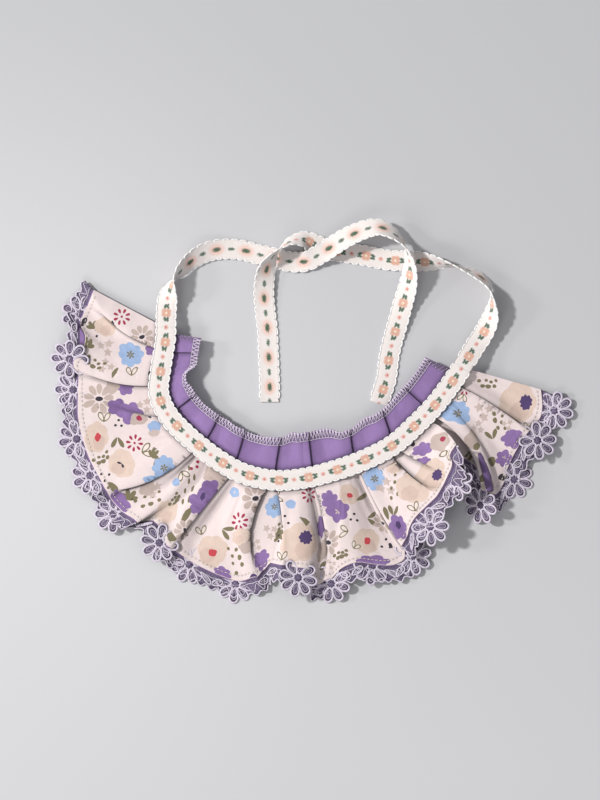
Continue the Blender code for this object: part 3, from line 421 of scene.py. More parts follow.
class Cloth:
    """A pleated strip: it holds the pleats and the ribs between them, and gives the stations of any row.
    side is 1 where the strip lies right of the seam's way and -1 where it lies left of it."""

    def __init__(self, seam, side, offset, folds, ribs, ends, radii, ride):
        self.seam = seam
        self.side = side
        self.offset = offset
        self.folds = folds
        self.start, self.end = ends
        self.crest_radius, self.valley_radius = radii
        self.ride = ride
        self.ribs = {}
        for rib in ribs:
            self.ribs.setdefault(rib.after, []).append(rib)

    def seam_point(self, s):
        point = self.seam.at(s)
        return point + self.side * self.offset * right_of(self.seam.along(s))

    def fold_line(self, fold):
        first = self.seam_point(fold.seam)
        middle = np.array([fold.mid_x, fold.mid_y, 0.0])
        last = np.array([fold.hem_x, fold.hem_y, 0.0])
        near = np.linalg.norm(middle - first)
        far = np.linalg.norm(last - middle)
        return first, middle, last, near / (near + far)

    def under_ribbon(self, z, place):
        """The height, kept under the ribbon near the seam."""
        away = np.hypot(self.seam.line[:, 0] - place[0], self.seam.line[:, 1] - place[1]).min()
        return min(z, self.ride + max(0.0, away - UNDER_RIBBON) * STEEPEST)

    def section(self, lap, top, low):
        """The stations of one pleat cut straight across: (place along the way from the crest, height)."""
        shut = smoothstep(lap / OPENING + 1)
        tall = max(top - low - 2 * (self.crest_radius + self.valley_radius), 0.0)
        crest_radius = self.crest_radius + (1 - shut) * OPEN_CREST + min(tall / 4, TALL_CREST)
        valley_radius = self.valley_radius + (1 - shut) * OPEN_VALLEY
        both = crest_radius + valley_radius
        share = min(max(lap / both, 0.0), 1.0)
        least = both * (1 + math.sqrt(2 * share - share * share)) if lap >= 0 else both * shut
        low = max(min(low, top - least), LOW_LEVEL)
        height = max(top - low, least, FLATTEST)
        turn = wall_turn(lap, height, both, share)
        reach = math.sin(min(turn, math.pi / 2))
        crest = -crest_radius * reach
        valley = -lap + valley_radius * reach
        top = low + height
        arc = [(math.sin(angle), math.cos(angle)) for angle in (0.0, turn / 2, turn)]
        stations = [(min(crest - FOOT_ROOM, shut * -(lap + RISE_ROOM)), top)]
        stations += [(crest + crest_radius * x, top - crest_radius * (1 - z)) for x, z in arc]
        stations += [(valley - valley_radius * x, low + valley_radius * (1 - z)) for x, z in arc[::-1]]
        stations.append((max(valley + FOOT_LEAST, shut * FOOT_ROOM), low))
        return stations

    def fold_stations(self, fold, v):
        """The stations round one pleat in the row at v, from left to right."""
        first, middle, last, at = self.fold_line(fold)
        sign = 1 if fold.side == "before" else -1
        seam_way = self.seam.along(fold.seam)
        hem_way = level(fold.heading)
        mid_way = unit(seam_way + hem_way)
        way = sign * unit(through(seam_way, mid_way, hem_way, at, v))
        crest = through(first, middle, last, at, v)
        valley = through(
            first - fold.neck_lap * sign * seam_way,
            middle - fold.mid_lap * sign * mid_way,
            np.array([fold.in_x, fold.in_y, 0.0]), at, v)
        lap = np.dot(crest - valley, way)
        top = self.under_ribbon(through(fold.neck_z, fold.mid_z, fold.hem_z, at, v), crest)
        low = max(through(fold.neck_low, fold.mid_low, fold.in_z, at, v), LOW_LEVEL)
        stations = []
        for i, (x, z) in enumerate(self.section(lap, top, low)):
            place = crest + x * way if i < 4 else valley + (x + lap) * way
            bend = self.seam_point(fold.seam + sign * x) - (first + sign * x * seam_way)
            place = place + bend * (1 - v) ** 2
            stations.append(np.array([place[0], place[1], self.under_ribbon(z, place)]))
        if not fold.foot:
            stations.pop()
        return stations if sign > 0 else stations[::-1]

    def rib_stations(self, before, after, v):
        """The stations between two pleats, either of which may be missing at an end of the strip."""
        ribs = self.ribs.get(before.name if before else "start", [])

        def ends(v):
            left = self.fold_stations(before, v)[-1] if before else self.end_place(ribs[0], self.start, v)
            right = self.fold_stations(after, v)[0] if after else self.end_place(ribs[-1], self.end, v)
            return left, right

        left, right = ends(v)
        left_hem, right_hem = ends(1.0)
        left_z = self.edge_level(before, 1) if before else self.edge_level(after, 0)
        right_z = self.edge_level(after, 0) if after else left_z
        stations = []
        for rib in ribs:
            hem = np.array([rib.hem_x, rib.hem_y, rib.hem_z])
            off = hem - left_hem - (right_hem - left_hem) * rib.share
            place = left + (right - left) * rib.share + off * v * v
            neck_z = left_z + (right_z - left_z) * smoothstep(rib.share)
            height = self.under_ribbon(through(neck_z, rib.mid_z, rib.hem_z, 0.5, v), place)
            place[2] = max(height, LOW_LEVEL)
            stations.append(place)
        return stations

    def end_place(self, rib, s, v):
        return self.seam_point(s) * (1 - v) + np.array([rib.hem_x, rib.hem_y, rib.hem_z]) * v

    def edge_level(self, fold, last):
        """The height at the seam of a pleat's first or last station."""
        on_top = (fold.side == "before") != bool(last)
        return fold.neck_z if on_top else fold.neck_low

    def row(self, v):
        stations = self.rib_stations(None, self.folds[0], v)
        for i, fold in enumerate(self.folds):
            after = self.folds[i + 1] if i + 1 < len(self.folds) else None
            stations += self.fold_stations(fold, v)
            stations += self.rib_stations(fold, after, v)
        return np.array(stations)

    def shows(self):
        """How far the lining reaches past the print's hem at each station."""
        reach = [LINING_SHOW]
        for fold in self.folds:
            reach += [LINING_SHOW] * len(self.fold_stations(fold, 1.0))
            reach += [getattr(rib, "show", LINING_SHOW) for rib in self.ribs.get(fold.name, [])]
        return np.array(reach)


def normals_of(grid):
    """The mitred normals of a grid of points: moving out by them keeps the wall's thickness round a bend."""
    across = grid[1:, 1:] - grid[:-1, :-1]
    back = grid[1:, :-1] - grid[:-1, 1:]
    faces = units(np.cross(back, across))
    total = np.zeros_like(grid)
    count = np.zeros(grid.shape[:2])
    for rows in (slice(1, None), slice(0, -1)):
        for columns in (slice(1, None), slice(0, -1)):
            total[rows, columns] += faces
            count[rows, columns] += 1
    size = np.linalg.norm(total, axis=2)
    stretch = np.clip(count / np.maximum(size, 1e-9), 1.0, MOST_MITRE)
    return total / np.maximum(size, 1e-9)[:, :, None] * stretch[:, :, None]


def along_line(line):
    """How far along the line each of its points lies."""
    return np.concatenate([[0.0], np.cumsum(np.linalg.norm(np.diff(line, axis=0), axis=1))])


def blended(values, reach, width):
    """The directions, each blended with those within about width along the line."""
    weights = np.exp(-(((reach[:, None] - reach[None, :]) / width) ** 2)) * np.gradient(reach)
    return units(weights @ values)


def lengthened(cloth, grid):
    """The print's own points, and one row more as far past its hem as the lining reaches."""
    way = blended(grid[-1] - grid[-2], along_line(grid[-1]), HEM_BLEND)
    edge = grid[-1] + way * cloth.shows()[:, None]
    edge[:, 2] = np.maximum(edge[:, 2], LOW_LEVEL)
    return np.concatenate([grid, edge[None]])


def even_route(rows, step):
    """The route's points and rolls, read from one smooth curve about every step."""
    route = Path([(row.x, row.y, row.z, row.roll / 10) for row in rows])
    count = max(2, round(route.length / step))
    marks = np.linspace(0.0, route.length, count + 1)
    points = np.array([route.at(mark) for mark in marks])
    return points[:, :3], points[:, 3] * 10


def read_at(line, reach, marks):
    return np.array([np.interp(marks, reach, axis) for axis in line.T]).T


# The lining's edge that is turned over in the deep recess on the right: the pixels of its middle, and its width
# in millimetres.
TURNBACK = table("px py wide", """
478.5 453 1.6; 481.5 461 3.4; 485.5 473 4.4; 488.5 484 4.8; 489.5 491 4.4
""")

# Where each printed motif lies, in pixels. size is its radius in millimetres, stretch its length over its
# width, and turn its angle in degrees.
MOTIFS = table("kind px py size stretch turn", """
crimson 121.7 318.3 5.3 1 10; daisy 143.2 337.4 7.6 1 20; blue 130.8 355.6 7.9 1 0
violet 151 349.5 4.2 1 0; stars 106 347.5 5 1 20; stars 106.5 366 4.6 1 80
sprig 91.6 328.8 3.8 1 100; sprig 89.5 347 4.6 1 70; trio 98 332 2.6 1 40; ink 84 320 2.2 1.9 70
peach 106 325.5 6.6 1.1 40; ink 112.2 325.4 1.5 1.7 110; dots 94.5 365 5.2 1 330
outline 131.8 377.6 4.2 1 90; dot 150.2 375 1.5 1.6 90; violet 128 387 5.4 1.1 0
daisy 99.2 396.7 9.8 1 0; lobes 126 411 9.4 1.3 170; outline 103.3 421.6 4.6 1 88
trio 119 422.8 2.4 1 0; taupe 139.4 419.4 4.8 1.2 0; red 139.6 419 1.8 1 0; dot 150.4 415 1.5 1 0
sky 154.7 426.4 4 1.2 0; peachred 97 440 8.4 1.2 80; leaves 118 436 4.8 1 270
crimson 134.7 444 5.3 1 25; tulip 156 438 4.6 1 100; outline 143 453.9 5.2 1 20
leaves 157 455.5 4.8 1 290; peachdark 123 464.8 8.6 1 10; dots 102.5 459 4.4 1 30
trio 104.5 474 3 1 60; sprig 114.8 483 4 1 240; sprig 128 497.8 5.4 1 85
violet 120.5 502 6.4 1.8 130; dots 148 501.5 7.4 1 20; stars 154 489 5.2 1 0
blue 164.5 466.5 7.4 1 0; violetdark 180.6 449 6.8 1.3 70; outline 182 471.2 4.6 1 300
rubies 194.5 466 3.6 1 0; taupe 213 473.4 7.4 1.5 120; dots 190.7 491 7.4 1 90
lobesdark 205 499 10.2 1.3 70; skybud 235.2 492.9 3.2 1 0; daisy 256.5 499 9 1 10
crimson 240 521.6 5.6 1 0; leaves 221.5 529.8 5 1 330; outline 202 534 4.2 1 100
peachred 212.4 550.4 9.6 1 0; leaf 187.5 516.8 4.6 1 60; daisy 186 530 7.6 1 0
peach 167 511 7.2 1.1 50; sky 176.6 483 2.6 1 0; olive 172 536 3 1.6 300; dots 236 562 7.2 1 110
violet 223.3 573 4.8 1.6 160; taupe 247.5 542 6.8 1.5 70; violet 263.5 557.5 5.8 1.3 60
blue 273.5 506 6.2 1.2 80; stars 264 531 4.4 1 0; deep 253 576 2.2 1.4 20
outline 284.3 496.5 4.2 1 180; sky 290.5 504.6 3 1.1 0; crimson 308.3 495.6 5 1 15
trio 285 520.5 3 1 0; olive 276 533.5 2.4 1.9 70; trio 279.5 538 2.2 1 30
peachdeep 301.5 541.5 12 1.1 90; wedge 302.5 521.8 3.6 1 300; outline 282 560.5 4 1 90
taupe 322.5 552 5 1.6 80; olive 323.4 566 2.4 1.6 60; violet 328.5 500.6 5.8 1.15 90
violetstar 337.5 511.5 7.4 1.1 150; peachred 348.3 494.2 6.4 1 0; trio 353 517 2.6 1 0
leaves 366.5 517.6 4.6 1 350; outline 349.6 530.2 4.4 1 170; daisy 327.6 541 8.4 1 10
peachred 366 541.8 8.2 1.05 90; violet 375 559.5 6.4 2.8 175; stars 332.5 565 3 1 0
blue 374 478 7.4 1 0; stars 386.8 487 5.4 1 60; stars 379 498 3.4 1 0; dots 396 487.5 6.6 1 80
peach 413 488.5 10.4 1.05 20; leaves 391 516.7 4.4 1 85; violetdark 399.8 526.5 6.8 1.4 100
outline 415.5 510.2 4.2 1 120; daisy 383 524.3 6.8 1 0; trio 385 546 3.4 1 0
dot 391 545 1.4 1.6 120; violet 422.5 448.5 5.4 1.5 20; violet 423 461.5 4.2 1.8 15
dot 413 444.4 1.5 1 0; peachdeep 431 474.5 10.4 1.25 50; crimson 465 386.5 4.2 1 0
dots 487.7 384.5 5 1 0; outline 464 394 3.6 1 250; peachdeep 516.5 404.5 12.6 1.15 60
blue 458.5 413.4 8.2 1 0; stars 483 413 5.6 1 0; stars 477 428 4 1 50; dots 499 418 6.2 1 285
leaves 492 440.5 4.4 1 110; violet 511.8 439.2 6.6 1.15 20; violetstar 503 457 5.2 1 0
outline 526.2 428.9 3.8 1 60; ink 501.3 476 2.2 1 0; taupe 440.5 440.6 6.4 1.2 30
red 441.2 440.4 1.8 1 0; outline 446.4 450 4.4 1 240; leaf 470.5 441.5 3.8 1 310
olive 489.5 462 3 1.3 60; taupe 471 441 5.6 1.3 60; olive 474.5 447 2.2 1.2 60
olive 484 476 2.6 1.6 60; taupe 489 486 4.2 1.2 0; taupe 146.5 489 5 1.2 30; sprig 152 456 4.2 1 60
sky 152.5 480.5 4.4 1.4 20; dots 277.5 531 4.6 1 80; peach 240.5 535.5 5.4 1.2 20
violet2 321 527 4.6 2.4 85; stars 146 398 4.4 1 30; dots 175 500 3.6 1 60; leaf 361 497 3.6 1 30
stars 258 545 3.4 1 40; outline 352 548 3.4 1 60; dots 341 553 3.8 1 20; leaf 386.5 512 3.4 1 110
peach 396 466 4.6 1.3 20; stars 506 424 3.4 1 20; dots 470 455 3.6 1 60; taupe 112.5 384 4.8 1.2 60
leaf 114 373 3 1 60
""")

# The inks of the print, and how much each varies.
INKS = table("name red green blue wash", """
ground 221 206 205 0.05; blue 150 174 210 0.2; violet 134 104 158 0.3; violet2 122 92 146 0.3
peach 211 189 176 0.12; peach2 202 178 166 0.1; taupe 186 168 160 0.14; crimson 156 40 72 0.1
red 190 62 72 0.1; olive 116 108 80 0.1; ink 44 38 48 0.1; deep 72 52 100 0.1
blush 192 174 168 0.1; cream 223 210 202 0.1
""")
INK_NAMES = [ink.name for ink in INKS]

# The leaves on either side of each rose of the ribbon, in millimetres.
ROSE_LEAVES = table("x y wide high", """
3.5 0.95 1 0.75; 4.5 0.55 0.85 0.7; 4 -0.2 0.7 0.9; 3.4 -0.95 1 0.6; 4.9 -0.9 0.7 0.6
""")


def of_pixel(px, py):
    return (px - ZERO_PIXEL[0]) * PIXEL, (ZERO_PIXEL[1] - py) * PIXEL


def ring(count, phase=0.0):
    return [2 * math.pi * (i + phase) / count for i in range(count)]


def turned(points, angle):
    cos, sin = math.cos(math.radians(angle)), math.sin(math.radians(angle))
    return [(x * cos - y * sin, x * sin + y * cos) for x, y in points]


def moved(points, x, y):
    return [(a + x, b + y) for a, b in points]


def blob(size, stretch, lobes, depth, seed, count=44):
    """The outline of a round flower with lobes, a little uneven as if it were painted."""
    points = []
    for angle in ring(count):
        reach = size * (1 - depth + depth * abs(math.sin(lobes * angle / 2 + seed)) ** 0.7)
        reach *= 1 + 0.05 * math.sin(2 * angle + 2.3 * seed) + 0.035 * math.sin(3 * angle + 1.1 * seed)
        points.append((reach * math.cos(angle) * stretch**0.5, reach * math.sin(angle) / stretch**0.5))
    return points


def petal(near, far, width, angle, count=12, point=0.0):
    """A drop-shaped petal or leaf that points away from the motif's middle."""
    middle, half = (near + far) / 2, (far - near) / 2
    points = []
    for at in ring(count):
        y = width / 2 * math.sin(at) * (1 + 0.3 * math.cos(at)) * (1 - point * abs(math.cos(at)) ** 3)
        points.append((middle + half * math.cos(at), y))
    return turned(points, angle)


def shapes_of(motif, seed):
    """The (ink, outline) pairs of a motif round its own middle, the lowest first, in millimetres."""
    kind, size, stretch = motif.kind, motif.size, motif.stretch
    shapes = []

    def flower(ink, share, long, lobes, depth, count, x=0.0, y=0.0, shift=0):
        outline = blob(size * share, long, lobes, depth, seed + shift, count)
        shapes.append((ink, moved(outline, x * size, y * size)))

    def dab(ink, reach, turn, count, x, y):
        shapes.append((ink, moved(blob(reach, 1.2, 3, 0.06, turn, count), x * size, y * size)))

    def leaves(ink, near, far, wide, angles, count=12, point=0.0, gap=0.0):
        for angle in angles:
            shapes.append((ink, petal(gap + near * size, far * size, wide * size, angle, count, point)))

    if kind == "blue":
        flower("blue", 1, stretch, 8, 0.22, 56)
        leaves("olive", 0, 0.34, 0.13, range(20, 380, 60), 8, gap=0.2)
    elif kind.startswith("violet"):
        flower("violet2" if kind == "violet2" else "violet", 1, stretch, 6, 0.3, 48)
        if kind == "violetdark":
            flower("deep", 0.3, 1.6, 5, 0.3, 18, 0.2, 0.05)
        if kind == "violetstar":
            leaves("blush", 0, 0.3, 0.12, (0, 72, 144), 8, gap=0.1)
    elif kind.startswith("lobes"):
        flower("violet2", 0.66, 1.1, 5, 0.3, 40, 0.55, -0.1)
        leaves("blush", 0, 0.3, 0.1, (20,), 8)
        flower("violet", 0.82, 1.15, 6, 0.3, 48, -0.3, 0.05, 1)
        if kind == "lobesdark":
            flower("deep", 0.2, 1.7, 5, 0.3, 16, 0.1, 0.12)
    elif kind.startswith("peach"):
        flower("peach", 1, stretch, 7, 0.12, 56)
        flower("peach2", 0.5, 1.2, 5, 0.12, 26, -0.3, -0.25)
        if kind == "peachred":
            flower("red", 0.27, 1.25, 4, 0.18, 18, 0.05, -0.1)
        if kind == "peachdeep":
            flower("deep", 0.36, 1.1, 9, 0.3, 30, 0.25, -0.3)
        if kind == "peachdark":
            leaves("ink", 0, 0.34, 0.15, (150,), 10)
            leaves("ink", 0, 0.3, 0.17, (280,), 10)
    elif kind == "taupe":
        flower("taupe", 1, stretch, 5, 0.16, 34)
    elif kind == "daisy":
        for i in range(9):
            leaves("taupe", 0.28, 0.94 + 0.06 * (i % 2), 0.38, (40 * i + 8,))
        flower("ink", 0.2, 1.5, 3, 0.1, 14)
    elif kind == "crimson":
        leaves("crimson", 0.42, 1, 0.3, range(12, 372, 45), 9)
        flower("crimson", 0.15, 1, 3, 0.1, 9)
    elif kind == "rubies":
        for x, y in ((0.5, 0.6), (0.4, -0.2), (-0.6, -0.5)):
            flower("crimson", 0.3, 1.2, 3, 0.1, 9, x, y)
    elif kind == "red":
        flower("crimson", 1, stretch, 4, 0.12, 14)
    elif kind.startswith("sky"):
        flower("blue", 1, stretch, 5, 0.14, 24)
        if kind == "skybud":
            leaves("ground", 0, 0.3, 0.14, range(0, 360, 90), 8, gap=0.1)
    elif kind in ("ink", "dot", "olive", "deep"):
        flower(kind.replace("dot", "ink"), 1, stretch, 3, 0.06, 16)
    elif kind == "trio":
        for x, y in ((0.1, 0.9), (-0.7, -0.4), (0.8, -0.5)):
            dab("ink" if seed % 2 else "olive", 0.85, seed, 9, x, y)
    elif kind == "dots":
        for x, y, scale in ((-1.0, 0.35, 0.9), (-0.55, -0.3, 1.0), (-0.15, 0.4, 0.75), (0.1, -0.35, 1.15),
                            (0.45, 0.2, 0.8), (0.85, -0.3, 0.9), (1.1, 0.35, 0.75)):
            dab("olive", 1.35 * scale, x * 9, 12, x, y)
    elif kind == "leaf":
        leaves("olive", -1.25, 1.25, 0.8, (0,), 12, 0.3)
    elif kind == "wedge":
        corners = ((-1, -0.2), (1, 0.0), (0.7, 0.9), (-0.2, 0.6))
        shapes.append(("olive", [(x * size, y * size) for x, y in corners]))
    elif kind == "leaves":
        leaves("olive", 0.1, 1.6, 0.55, (-28, 28), 12, 0.35)
    elif kind == "outline":
        for angle in (-30, 30):
            leaves("olive", 0, 1.5, 0.7, (angle,), 14, 0.35)
            leaves("cream", 0.24, 1.3, 0.46, (angle,), 12, 0.35)
    elif kind == "sprig":
        for angle, reach in ((-55, 0.8), (-18, 1.1), (18, 1.1), (55, 0.85)):
            leaves("olive", 0, 1.3 * reach, 0.52, (angle,), 10, 0.2)
    elif kind == "tulip":
        leaves("blush", 0.2, 1.2, 0.55, (-35, 0, 35), 12, 0.2)
    elif kind == "stars":
        for x, y in ((-0.5, 0.45), (0.55, 0.35), (0.0, -0.6)):
            star = []
            for i, angle in enumerate(ring(10, 0.3 * seed)):
                reach = size * (0.58 if i % 2 else 0.3)
                star.append((reach * math.cos(angle), reach * math.sin(angle)))
            shapes.append(("blush", moved(star, x * size, y * size)))
    return [(ink, turned(outline, motif.turn)) for ink, outline in shapes]


class Sheet:
    """A grid of points read as a surface. u runs along its free edge and v from the seam to it, in
    millimetres."""

    def __init__(self, grid, rows, depth, side=1):
        self.grid = grid
        self.normals = units(normals_of(grid) * side)
        self.u = along_line(grid[-1])
        self.v = np.asarray(rows) * depth
        self.lengths = np.array([along_line(row) for row in grid])

    def at(self, places, rise):
        """The points over the (u, v) places, rise out along the normals."""
        places = np.asarray(places, float)
        c = np.clip(np.interp(places[:, 0], self.u, np.arange(len(self.u))), 0, len(self.u) - 1.000001)
        r = np.clip(np.interp(places[:, 1], self.v, np.arange(len(self.v))), 0, len(self.v) - 1.000001)
        c0, r0 = c.astype(int), r.astype(int)
        fc, fr = (c - c0)[:, None], (r - r0)[:, None]
        mixed = []
        for field in (self.grid, self.normals):
            low = field[r0, c0] * (1 - fc) + field[r0, c0 + 1] * fc
            high = field[r0 + 1, c0] * (1 - fc) + field[r0 + 1, c0 + 1] * fc
            mixed.append(low * (1 - fr) + high * fr)
        rise = np.broadcast_to(np.asarray(rise, float), (len(places),))
        return mixed[0] + units(mixed[1]) * rise[:, None]

    def seen(self):
        """Which points of the grid nothing of the grid hides from above."""
        cells = np.floor(self.grid[..., :2] - self.grid[..., :2].min(axis=(0, 1))).astype(int) + 1
        tops = np.full(cells.max(axis=(0, 1)) + 2, -1.0)
        np.maximum.at(tops, (cells[..., 0], cells[..., 1]), self.grid[..., 2])
        wide = tops.copy()
        for dx in (-1, 0, 1):
            for dy in (-1, 0, 1):
                wide = np.maximum(wide, np.roll(tops, (dx, dy), (0, 1)))
        return self.grid[..., 2] > wide[cells[..., 0], cells[..., 1]] - HIDDEN

    def laid(self, x, y, outline, shown):
        """The (u, v) of an outline that is laid on the seen cloth nearest (x, y). Its steps are measured down
        the column there and then along the rows, so that it keeps its size where the cloth is bunched."""
        away = np.hypot(self.grid[..., 0] - x, self.grid[..., 1] - y) + np.where(shown, 0.0, 50.0)
        r, c = np.unravel_index(np.argmin(away), away.shape)
        left, right = max(c - 3, 0), min(c + 3, len(self.u) - 1)
        high, low = max(r - 2, 0), min(r + 2, len(self.v) - 1)
        along = unit(self.grid[r, right] - self.grid[r, left])
        column = unit(self.grid[low, c] - self.grid[high, c])
        lean = np.dot(column, along)
        straight = max(math.sqrt(1 - lean * lean), 0.5)
        across = unit(along[:2])
        down = np.array([-across[1], across[0]])
        down *= np.sign(np.dot(down, column[:2]))
        depths = along_line(self.grid[:, c])
        found = []
        for point in np.asarray(outline):
            step = np.dot(point, down) / straight
            row = np.interp(depths[r] + step, depths, np.arange(len(depths)))
            low_row = min(int(row), len(depths) - 2)
            lengths = self.lengths[low_row] * (low_row + 1 - row) + self.lengths[low_row + 1] * (row - low_row)
            mark = lengths[c] + np.dot(point, across) - step * lean
            found.append((np.interp(mark, lengths, self.u), np.interp(row, np.arange(len(depths)), self.v)))
        return found


def fine(grid):
    return np.array([catmull(row, FINE_SPAN) for row in grid])


def placed(name, data):
    made = bpy.data.objects.new(name, data)
    bpy.context.scene.collection.objects.link(made)
    return made


def piece(name, points, faces, finishes, uv=None, slots=None, rim=0):
    """A mesh from points in millimetres, with a uv for each point and a slot for each face. The last rim faces
    are flat, so that their edges stay sharp."""
    mesh = bpy.data.meshes.new(name)
    mesh.from_pydata(((np.asarray(points) - MIDDLE) * MM).tolist(), [], faces)
    if uv is not None:
        layer = mesh.uv_layers.new(name="cloth")
        loops = np.empty(len(mesh.loops), np.int32)
        mesh.loops.foreach_get("vertex_index", loops)
        layer.data.foreach_set("uv", np.asarray(uv, np.float32)[loops].ravel())
    for finish in finishes:
        mesh.materials.append(finish)
    if slots is not None:
        mesh.polygons.foreach_set("material_index", np.asarray(slots, np.int32))
    mesh.polygons.foreach_set("use_smooth", [True] * (len(faces) - rim) + [False] * rim)
    mesh.update()
    return placed(name, mesh)


def net_faces(rows, columns, first=0, flip=False):
    faces = []
    for r in range(rows - 1):
        for c in range(columns - 1):
            at = first + r * columns + c
            face = [at, at + columns, at + columns + 1, at + 1]
            faces.append(face[::-1] if flip else face)
    return faces


def shell(upper, lower):
    """The points and faces of a thin closed cloth between two grids: the upper grid's faces come first."""
    rows, columns = upper.shape[:2]
    below = rows * columns
    faces = net_faces(rows, columns) + net_faces(rows, columns, below, True)
    rim = list(range(columns)) + [r * columns + columns - 1 for r in range(1, rows)]
    rim += [(rows - 1) * columns + c for c in range(columns - 2, -1, -1)]
    rim += [r * columns for r in range(rows - 2, 0, -1)]
    faces += [[a, b, b + below, a + below] for a, b in zip(rim, rim[1:] + rim[:1])]
    facing = np.cross(upper[1:, :-1] - upper[:-1, :-1], upper[1:, 1:] - upper[:-1, :-1])
    if np.sum(facing * (upper - lower)[:-1, :-1]) < 0:
        faces = [face[::-1] for face in faces]
    return np.concatenate([upper.reshape(-1, 3), lower.reshape(-1, 3)]), faces


class Threads:
    """Collects tubes of thread into one mesh."""

    def __init__(self):
        self.points = []
        self.faces = []

    def add(self, line, radius, up=(0.0, 0.0, 1.0), sides=5, closed=False):
        """A tube along the line. A closed one is a little flat."""
        line = np.asarray(line, float)
        count = len(line)
        looped = np.roll(line, -1, axis=0) - np.roll(line, 1, axis=0)
        way = units(looped if closed else np.gradient(line, axis=0))
        side = units(np.cross(way, np.broadcast_to(np.asarray(up, float), (count, 3))))
        top = np.cross(side, way)
        flat = THREAD_FLAT if closed else 1.0
        first = len(self.points)
        for i in range(count):
            size = radius if closed or 0 < i < count - 1 else radius * 0.4
            for angle in ring(sides):
                offset = side[i] * math.cos(angle) * size + top[i] * math.sin(angle) * size * flat
                self.points.append(line[i] + offset)
        spans = count if closed else count - 1
        for i in range(spans):
            low, high = first + i * sides, first + (i + 1) % count * sides
            for j in range(sides):
                k = (j + 1) % sides
                self.faces.append((low + j, high + j, high + k, low + k))
        if not closed:
            self.faces.append(tuple(first + j for j in range(sides)))
            self.faces.append(tuple(first + (count - 1) * sides + j for j in reversed(range(sides))))

    def made(self, name, finish):
        points = np.array(self.points)
        points[:, 2] = np.maximum(points[:, 2], FLOOR_GAP)
        return piece(name, points, self.faces, [finish])


def linear(colour):
    """The renderer's colour for an 8-bit one."""
    return tuple(((c / 255 + 0.055) / 1.055) ** 2.4 if c > 10 else c / 255 / 12.92 for c in colour) + (1.0,)


def scaled(colour, share):
    return tuple(min(1.0, c * share) for c in linear(colour)[:3]) + (1.0,)


class Value:
    """What a node gives. Each sign that reckons with it makes a math node."""

    def __init__(self, nodes, socket):
        self.nodes = nodes
        self.socket = socket

    def __add__(self, other):
        return self.nodes.math("ADD", self, other)

    def __sub__(self, other):
        return self.nodes.math("SUBTRACT", self, other)

    def __rsub__(self, other):
        return self.nodes.math("SUBTRACT", other, self)

    def __mul__(self, other):
        return self.nodes.math("MULTIPLY", self, other)

    def __truediv__(self, other):
        return self.nodes.math("DIVIDE", self, other)

    def __mod__(self, other):
        return self.nodes.math("FLOORED_MODULO", self, other)

    def __abs__(self):
        return self.nodes.math("ABSOLUTE", self)


class Nodes:
    """A short way to write a material's nodes."""

    def __init__(self, name):
        self.material = bpy.data.materials.new(name)
        self.material.use_nodes = True
        self.tree = self.material.node_tree
        self.shader = self.tree.nodes["Principled BSDF"]

    def link(self, source, target):
        if isinstance(source, Value):
            self.tree.links.new(source.socket, target)
        else:
            target.default_value = source

    def make(self, kind, inputs=None, output=0, **settings):
        """One of the outputs of a new node."""
        node = self.tree.nodes.new("ShaderNode" + kind)
        for key, value in settings.items():
            setattr(node, key, value)
        for key, value in (inputs or {}).items():
            self.link(value, node.inputs[key])
        return Value(self, node.outputs[output])

    def finish(self, **inputs):
        for key, value in inputs.items():
            self.link(value, self.shader.inputs[key.replace("_", " ")])

    def math(self, operation, *values):
        return self.make("Math", dict(enumerate(values)), operation=operation)

    def noise(self, vector, scale, detail=3.0, rough=0.55):
        inputs = {"Vector": vector, "Scale": scale, "Detail": detail, "Roughness": rough}
        return self.make("TexNoise", inputs, "Fac")

    def wave(self, vector, scale, axis, warp=0.0):
        inputs = {"Vector": vector, "Scale": scale, "Distortion": warp}
        return self.make("TexWave", inputs, "Fac", bands_direction=axis)

    def mix(self, share, first, second):
        return self.make("Mix", {0: share, 6: first, 7: second}, 2, data_type="RGBA")

    def bump(self, height, strength, distance, over=None):
        inputs = {"Height": height, "Strength": strength, "Distance": distance}
        if over is not None:
            inputs["Normal"] = over
        bumped = self.make("Bump", inputs)
        self.finish(Normal=bumped)
        return bumped

    def painted_fold_shade(self, colour, depth):
        """The colour with painted shade: darkened towards a near black where the cloth is tucked into a fold or
        lies close to other parts.
        """
        openness = self.make("AmbientOcclusion", {"Distance": FOLD_REACH}, "AO", samples=FOLD_SAMPLES)
        return self.mix(self.math("POWER", openness, depth), FOLD_SHADE_COLOUR, colour)

    def spot(self, across, along, x, y, wide, high, soft):
        """One inside an ellipse, nought outside, with a soft edge."""
        dx, dy = (along - x) / wide, (across - y) / high
        inputs = {"Value": self.math("SQRT", dx * dx + dy * dy), "From Min": 1 + soft, "From Max": 1 - soft}
        return self.make("MapRange", inputs, interpolation_type="SMOOTHSTEP")

    def parts(self, vector):
        split = self.make("SeparateXYZ", {0: vector}).socket.node
        return [Value(self, part) for part in split.outputs]

    def uv(self):
        return self.make("UVMap", uv_map="cloth")

    def place(self):
        return self.make("TexCoord", output="Object")


